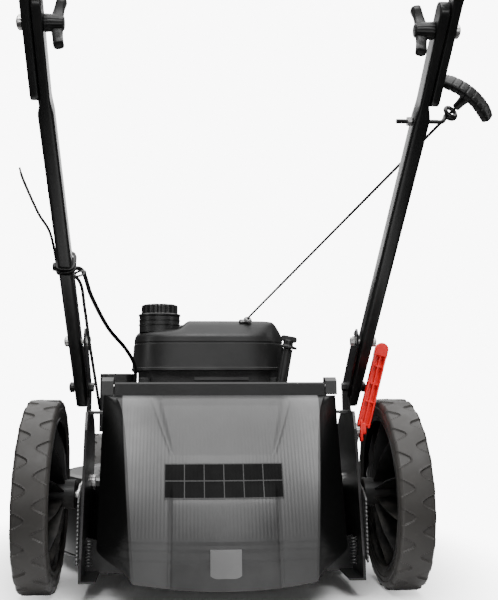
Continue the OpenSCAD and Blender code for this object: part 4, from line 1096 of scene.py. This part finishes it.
# ---- starter rope and grip ----

ROPE_FROM = np.array((60.0, 178.0, 421.0)) * MM
ROPE_TO = np.array((271.857, -351.825, 635.384)) * MM
ROPE_V = unit(ROPE_TO - ROPE_FROM)


def braid(path, radius, sides=20):
    """A braided rope: its radius swells where two opposite spirals of strands cross."""
    path = np.asarray(path, float)
    shape = Shape()
    u, v, _ = axis_frame(path[-1] - path[0])
    s = np.linalg.norm(path - path[0], axis=1)[:, None]
    turn = (np.arange(sides) * 2 * math.pi / sides)[None, :]
    pitch = 2 * math.pi / (9 * MM)
    strands = np.sin(4 * turn + pitch * s) * np.sin(4 * turn - pitch * s)
    r = radius * (0.955 + 0.045 * strands)
    points = path[:, None] + r[..., None] * (np.cos(turn)[..., None] * u
                                             + np.sin(turn)[..., None] * v)
    rim, last = np.arange(sides), len(path) * sides
    points = np.concatenate([points.reshape(-1, 3), path[:1], path[-1:]])
    return shape.add(points, grid_faces(len(path), sides, False, True), fan(rim, last, True),
                     fan(rim + last - sides, last + 1))


def make_starter():
    run = braid(line(ROPE_FROM - ROPE_V * 4 * MM, ROPE_TO - ROPE_V * 0.5 * MM, 620), 2.0 * MM)
    piece("starter_rope", run, "chassis", "rope", ["rope_run"], 60,
          ("lower_handle", ROPE_FROM, ROPE_TO))
    end = braid(line(ROPE_TO - ROPE_V * 0.4 * MM, ROPE_TO + ROPE_V * 12.5 * MM, 40), 2.0 * MM)
    piece("starter_rope_end", end, "lower_handle", "rope", ["rope_end"], 60,
          ("pull_grip", ROPE_TO, ROPE_TO + ROPE_V * 12 * MM))

    lean = np.array((0.78, 0.0, -0.62))
    span = unit(lean - ROPE_V * (lean @ ROPE_V))
    deep = np.cross(span, ROPE_V)
    start = ROPE_TO + ROPE_V * 12 * MM
    grip = Shape()
    stem = np.linspace(0.6, 22, 18)
    flare = 5 + 3 * (stem / 22) ** 2.2
    sweep(grip, start + ROPE_V * stem[:, None] * MM, flare * MM, flare * 1.05 * MM, deep, 2.0, 36,
          0.6 * MM)
    turn = np.radians(np.linspace(-31.5, 31.5, 150))
    bar = (start + ROPE_V * (27 * MM - 70 * MM + 70 * MM * np.cos(turn))[:, None]
           + span * (70 * MM * np.sin(turn))[:, None])
    arc = np.degrees(turn)
    notch = smoothstep(np.cos(np.radians(arc) * 2 * math.pi / math.radians(7.2)), -0.95, -0.55)
    inside = np.abs(arc) < 28
    squeeze = np.where(inside, 1 - 0.055 * (1 - notch), 1.0)
    taper = 1 - 0.14 * smoothstep(np.abs(arc), 24, 32)
    sweep(grip, bar, 10.9 * squeeze * taper * MM, 6.4 * squeeze * taper * MM, ROPE_V, 3.2, 40,
          2.2 * MM)
    piece("pull_handle", grip, "pull_grip", "grip_plastic", ["starter_grip"], 40)

    guide = Shape()
    corner_x, along = UPPER_X + 17, 509.0
    corner = on_handle(corner_x, along, 0)
    to_rod = corner - ROPE_TO
    flat = unit(to_rod - ROPE_V * (to_rod @ ROPE_V))
    aside = np.cross(ROPE_V, flat)
    rod = on_handle(np.linspace(208, corner_x - 7, 60), along, 0)
    a = np.linspace(0, 2.35 * math.pi, 64)[:, None]
    loop = (ROPE_TO + 8 * MM * (np.cos(a) * flat + np.sin(a) * aside)
            + ROPE_V * 5.2 * MM * (a - math.pi) / (2 * math.pi) * 0.8)
    knee = spline([rod[-1], corner, corner + (loop[0] - corner) * 0.55, loop[0] - aside * 2 * MM,
                   loop[1]], 8)
    path = np.concatenate([rod[:-1], knee[:-1], loop[2:]])
    sweep(guide, path, 2.75 * MM, None, ROPE_V, 2.0, 20, 1.6 * MM)
    thread_x = np.linspace(200.5, 212, 60)
    ridge = 2.9 + 0.22 * np.cos(thread_x * 2 * math.pi / 1.25)
    sweep(guide, on_handle(thread_x, along, 0), ridge * MM, None, ABOVE, 2.0, 20)
    piece("rope_guide_wire", guide, "lower_handle", "tube_paint", ["rope_guide"], 40)
    nut = Shape()
    six = np.radians(np.arange(6) * 60)
    plate(nut, np.stack([np.cos(six), np.sin(six)], -1) * 6.4 * MM, 213.8 * MM, 219.6 * MM,
          0.7 * MM, on_handle(0, along, 0), ALONG, ABOVE, ACROSS)
    piece("rope_guide_nut", nut, "lower_handle", "zinc")


# ---- cables and ties ----

def make_cables():
    """Each cable's jacket follows a smooth path across the handle's two folds."""
    tie_x = TUBE_X + 268 * math.sin(math.radians(1.2))
    stop_tie, throttle_tie = on_handle(-tie_x + 4, 250, 16.3), on_handle(-tie_x - 5, 250, 16.3)
    stop_joint, throttle_joint = on_handle(-UPPER_X + 4, 695, 16.3), on_handle(-UPPER_X - 5, 695,
                                                                               16.3)
    stop_clip, throttle_clip = on_handle(-UPPER_X + 4, 963, 15.2), on_handle(-UPPER_X - 5, 963,
                                                                             15.2)
    stop_route = [*(np.array([(-139, 150, 300), (-139, 130, 334), (-152, 75, 361),
                              (-177, 10, 391), (-197, -70, 432), (-207, -116, 465)]) * MM),
                  stop_tie - ALONG * 8 * MM, stop_tie]
    throttle_route = [*(np.array([(-188, 20, 266), (-192, -20, 306), (-199, -60, 362),
                                  (-204, -100, 412), (-210, -120, 448)]) * MM),
                      throttle_tie - ALONG * 8 * MM, throttle_tie]
    for name, route, joint, clip, r in (("stop", stop_route, stop_joint, stop_clip, 3.2),
                                        ("throttle", throttle_route, throttle_joint,
                                         throttle_clip, 2.4)):
        low = sweep(Shape(), spline(route, 10), r * MM, None, ACROSS, 2.0, 16)
        piece(f"{name}_cable_to_engine", low, "chassis", "cable_jacket", [f"{name}_cable_lower"],
              60, ("lower_handle", route[0], route[-1]))
        up = sweep(Shape(), np.concatenate([line(route[-1], joint, 70)[:-1],
                                            line(joint, clip, 50)]), r * MM, None, ABOVE, 2.0, 16)
        piece(f"{name}_cable_on_handle", up, "lower_handle", "cable_jacket",
              [f"{name}_cable_middle", f"{name}_cable_upper"], 60,
              ("upper_handle", on_handle(-UPPER_X, 610, 16), on_handle(-UPPER_X, 700, 16)))
    start, stop = stop_clip, on_handle(-222.86, 1023 + 40 * math.cos(math.pi / 4) - 7,
                                       40 * math.sin(math.pi / 4))
    ahead = unit(stop - start)
    s = np.linspace(0, 1, 80)
    core = start + (stop - start) * s[:, None]
    twist = 1 + 0.06 * np.cos(s * 300)
    wire = sweep(Shape(), core, 0.9 * twist * MM, None, np.cross(ahead, ACROSS), 2.0, 12)
    piece("bail_pull_wire", wire, "upper_handle", "zinc", ["bail_wire"], 60,
          ("bail_bar", start, stop))

    tie = Shape()
    turn = np.linspace(0, 2 * math.pi, 73)[:-1]
    for along, size, lean in ((257.5, 1.0, 0.0), (263.0, 1.06, 0.35), (268.5, 1.0, -0.2)):
        c, s = np.cos(turn), np.sin(turn)
        a = 11.6 * size * np.sign(c) * np.abs(c) ** 0.5
        b = 17.4 * size * np.sign(s) * np.abs(s) ** 0.5 + 4.2
        path = on_handle(-tie_x + a, along + lean * a * 0.35, b)
        sweep(tie, path, 2.3 * MM, 0.9 * MM, ACROSS * 0.02 + ALONG, 3.0, 12, wrap=True)
    knot = on_handle(-tie_x - 14, 261, -1)
    block(tie, knot, (8 * MM, 10 * MM, 9 * MM), 2 * MM, 1 * MM, ACROSS, ABOVE)
    tail = spline([on_handle(-tie_x - 12, 262, 0), *(np.array(
        [(-246, -184, 508), (-263, -190, 536), (-283, -200, 579), (-289, -202, 597)]) * MM)], 12)
    share = np.linspace(0, 1, len(tail))
    width = 1.9 - 0.5 * smoothstep(share, 0.82, 0.9)
    sweep(tie, tail, width * MM, width * 0.8 * MM, (0, 1, 0), 2.6, 16, 0.6 * MM)
    piece("handle_cable_tie", tie, "lower_handle", "cable_jacket", ["cable_tie"], 50)
    strap = Shape()
    t = np.linspace(0, 2 * math.pi, 41)[:-1][:, None]
    spot = np.array((-209.5, -131, 459)) * MM
    reach = np.array((7.6, -1.0, 1.5)) * MM
    tall = np.array((0.6, 3.2, 4.0)) * MM
    sweep(strap, spot + reach * np.cos(t) + tall * np.sin(t), 2.2 * MM, 0.8 * MM,
          (0.0, -0.7, 0.7), 3.0, 12, wrap=True)
    piece("cable_pair_tie", strap, "lower_handle", "cover_plastic")


# ---- height lever and wheel adjusters ----

def make_lever():
    """The red lever: two rails and a middle rib joined by cross ribs, with a rounded head."""
    lean, length = math.radians(16), 132.0
    foot = np.array((220.0, -20.0, 240.0)) * MM
    up = np.array((math.sin(lean), 0.0, math.cos(lean)))
    across = np.array((math.cos(lean), 0.0, -math.sin(lean)))
    ahead = np.array((0.0, 1.0, 0.0))
    shape = Shape()

    def bar(x0, x1, y0, y1, h0, h1, edge=0.7):
        centre = (foot + across * (x0 + x1) / 2 * MM + ahead * (y0 + y1) / 2 * MM
                  + up * (h0 + h1) / 2 * MM)
        block(shape, centre, ((x1 - x0) * MM, (y1 - y0) * MM, (h1 - h0) * MM),
              min(x1 - x0, y1 - y0) * 0.3 * MM, min(edge, (h1 - h0) / 3, 0.7) * MM, across, ahead)

    bar(-9.5, -6.7, -6.2, 6.0, -2, 122)
    bar(6.7, 9.5, -6.2, 6.0, -2, 122)
    bar(-1.4, 1.4, -5.6, 5.0, 2, 118)
    bar(-7.6, 7.6, 2.6, 5.6, -1, 120)
    for h in (0, 36, 64, 92):
        bar(-8, 8, -5.8, 5.0, h, h + 2.8)
    bar(-8, 8, -5.8, 5.0, 113, 120)
    head = np.radians(np.linspace(0, 180, 24))
    outline = np.concatenate([[(10.2, -12)], np.stack([10.2 * np.cos(head), 10.2 * np.sin(head)],
                                                      -1), [(-10.2, -12)]]) * MM
    plate(shape, outline, -6.3 * MM, 6.3 * MM, 1.6 * MM, foot + up * (length - 11) * MM, across,
          up, ahead)
    plate(shape, rounded_rect(15 * MM, 34 * MM, 4 * MM), 0.2 * MM, 4 * MM, 0.8 * MM,
          np.array((214.0, -20.0, 233.0)) * MM, (0, 1, 0), (0, 0, 1), (1, 0, 0))
    plate(shape, rounded_rect(12 * MM, 18 * MM, 3 * MM), 0, 7 * MM, 0.8 * MM,
          np.array((216.5, -20.0, 236.0)) * MM, (0, 1, 0), (0, 0, 1), (1, 0, 0))
    piece("height_lever_grip", shape, "height_rear_right", "red_plastic", ["height_lever"], 40)


def make_adjusters():
    """Toothed zinc plates beside the rear wheels, and the return springs below them."""
    for side, name in SIDES:
        teeth = Shape()
        z = np.linspace(52, 140, 177)
        pitch, depth = 5.5, 4.0
        wave = np.abs(((z - 52) / pitch) % 1 - 0.5) * depth
        rear = np.stack([-84 + wave, z], -1)
        outline = np.concatenate([rear, [(-66, 150), (-40, 158), (-34, 140), (-60, 60)]]) * MM
        plate(teeth, outline, side * 205.5 * MM if side == RIGHT else -208.2 * MM,
              side * 208.2 * MM if side == RIGHT else -205.5 * MM, 0.35 * MM, (0, 0, 0),
              (0, 1, 0), (0, 0, 1), (1, 0, 0))
        piece(f"height_sector_{name}", teeth, "chassis", "dark_steel")
        spring = Shape()
        turns, coil_r = 9, 4.2
        t = np.linspace(0, 2 * math.pi * turns, 260)
        along = t / t[-1]
        path = np.stack([side * (193 + coil_r * np.cos(t)), -50 + coil_r * np.sin(t),
                         44 + 38 * along], -1) * MM
        sweep(spring, path, 0.8 * MM, None, (0, 0, 1), 2.0, 8, 0.4 * MM)
        piece(f"return_spring_{name}", spring, "chassis", "dark_steel")
    coils = Shape()
    for side, _ in SIDES:
        turns, coil_r = 4, 4.9
        t = np.linspace(0, 2 * math.pi * turns, 160)
        x = side * (152 + 12 * t / t[-1])
        coil = np.stack([x, 3 - coil_r * np.cos(t), 300 + coil_r * np.sin(t)], -1)
        path = np.concatenate([[(side * 152, -1.9, 288)], coil,
                               [(side * 164, -1.9, 291)]]) * MM
        sweep(coils, path, 0.9 * MM, None, (1, 0, 0.001), 2.0, 10, 0.3 * MM)
    piece("door_spring_coils", coils, "chassis", "dark_steel", ["door_springs"])


# ---- deck ----

def make_deck_trim():
    """A rolled lip along the deck's lower edge, and stiffening beads pressed into its top."""
    lip = Shape()
    chute_half, bell_r, lip_r, blade_y = 168.0, 282.0, 280.9, 300
    start = math.degrees(math.asin(chute_half / bell_r)) + 0.6
    a = np.radians(np.linspace(start - 90, 270 - start, 200))
    ring = np.stack([lip_r * np.cos(a), blade_y + lip_r * np.sin(a), np.full(200, 26.6)], -1) * MM
    sweep(lip, ring, 2.4 * MM, None, (0, 0, 1), 2.0, 14, 1 * MM)
    piece("deck_rolled_lip", lip, "chassis", "deck_paint")
    beads = Shape()
    for r in (206.0, 232.0):
        b = np.radians(np.linspace(-30, 210, 120))
        ring = np.stack([r * np.cos(b), blade_y + r * np.sin(b), np.full(120, 149.4)], -1) * MM
        sweep(beads, ring, 4.2 * MM, 1.8 * MM, (0, 0, 1), 2.0, 12, 3 * MM)
    piece("deck_pressed_beads", beads, "chassis", "deck_paint")


def finish_cad_nodes():
    """The CAD nodes that stay in view take the finish of their own slot."""
    for name, thing in frame["nodes"].items():
        slots = thing.data.materials
        wanted = SLOTS.get(name)
        if wanted is None:
            continue
        if len(slots):
            for k in range(len(slots)):
                slots[k] = FINISHES[wanted]
        else:
            slots.append(FINISHES[wanted])


SLOTS = {part["node"]: part["material_slot"] for part in frame["record"]["subparts"]}

aim_camera()
finish_cad_nodes()
for side, _ in SIDES:
    tyre(side, "rear", 22)
    tyre(side, "front", 16)
    rim(side, "rear", 6)
    rim(side, "front", 5)
    make_lower_tube(side)
    make_knob(side)
make_door()
make_cover()
make_fuel_cap()
make_dipstick()
make_upper_handle()
make_foam_grip()
make_bail()
make_bolt_heads()
make_starter()
make_cables()
make_lever()
make_adjusters()
make_deck_trim()

# ---- studio ----

ground = Shape()
rows, columns, inmost, outmost = 12, 48, 0.05, 9.0
rings = np.linspace(inmost, outmost, rows)
turn = np.arange(columns) * 2 * math.pi / columns
disc = np.stack([rings[:, None] * np.cos(turn), rings[:, None] * np.sin(turn),
                 np.zeros((rows, columns))], -1)
floor_points = np.concatenate([disc.reshape(-1, 3), [[0.0, 0.0, 0.0]]])
ground.add(floor_points, grid_faces(rows, columns, False, True),
           fan(np.arange(columns), rows * columns), closed=False)
floor = bpy.data.objects.new("studio_floor", ground.mesh("studio_floor"))
bpy.context.collection.objects.link(floor)
paper = Finish("studio_paper")
drift = paper.noise(3.0, 2.0)
across, along = paper.height("X"), paper.height("Y")
away = (across * 2.3) ** 2 + ((along - 0.28) * 1.5) ** 2
paper.surface(colour=paper.blend(drift, grey(0.90), grey(0.94)), rough=0.9, specular=0.1,
              alpha=1.0 - away.between(0.35, 1.7))
floor.data.materials.append(paper.material)


ROOM_LIGHT, BACKDROP = 0.07, 9.0


def light_world():
    """A white room for the eye, and a much dimmer one for what falls on the mower."""
    world = bpy.data.worlds.new("studio")
    world.use_nodes = True
    tree = world.node_tree
    dim = tree.nodes["Background"]
    dim.inputs["Strength"].default_value = ROOM_LIGHT
    bright = tree.nodes.new("ShaderNodeBackground")
    bright.inputs["Strength"].default_value = BACKDROP
    path = tree.nodes.new("ShaderNodeLightPath")
    pick = tree.nodes.new("ShaderNodeMixShader")
    for background in (dim, bright):
        background.inputs["Color"].default_value = (1.0, 1.0, 1.0, 1.0)
    tree.links.new(path.outputs["Is Camera Ray"], pick.inputs[0])
    tree.links.new(dim.outputs[0], pick.inputs[1])
    tree.links.new(bright.outputs[0], pick.inputs[2])
    tree.links.new(pick.outputs[0], tree.nodes["World Output"].inputs["Surface"])
    bpy.context.scene.world = world


light_world()
LAMPS = (
    ("overhead", (0.0, 0.5, 3.0), (0.0, 0.5, 0.0), (4.0, 4.0), 230),
    ("above_camera", (0.1, -2.4, 2.7), (0.0, 0.0, 0.25), (2.2, 1.3), 130),
    ("left_strip", (-2.3, -0.6, 0.9), (0.0, 0.0, 0.4), (0.35, 2.0), 12),
    ("right_strip", (2.3, -0.6, 0.9), (0.0, 0.0, 0.4), (0.35, 2.0), 12),
    ("low_fill", (0.0, -2.7, 0.4), (0.0, -0.2, 0.5), (2.6, 0.6), 22),
    ("front_fill", (0.0, 3.2, 1.6), (0.0, 0.3, 0.3), (2.4, 1.4), 30),
)
for name, place, target, size, power in LAMPS:
    softbox(name, place, target, size, power)
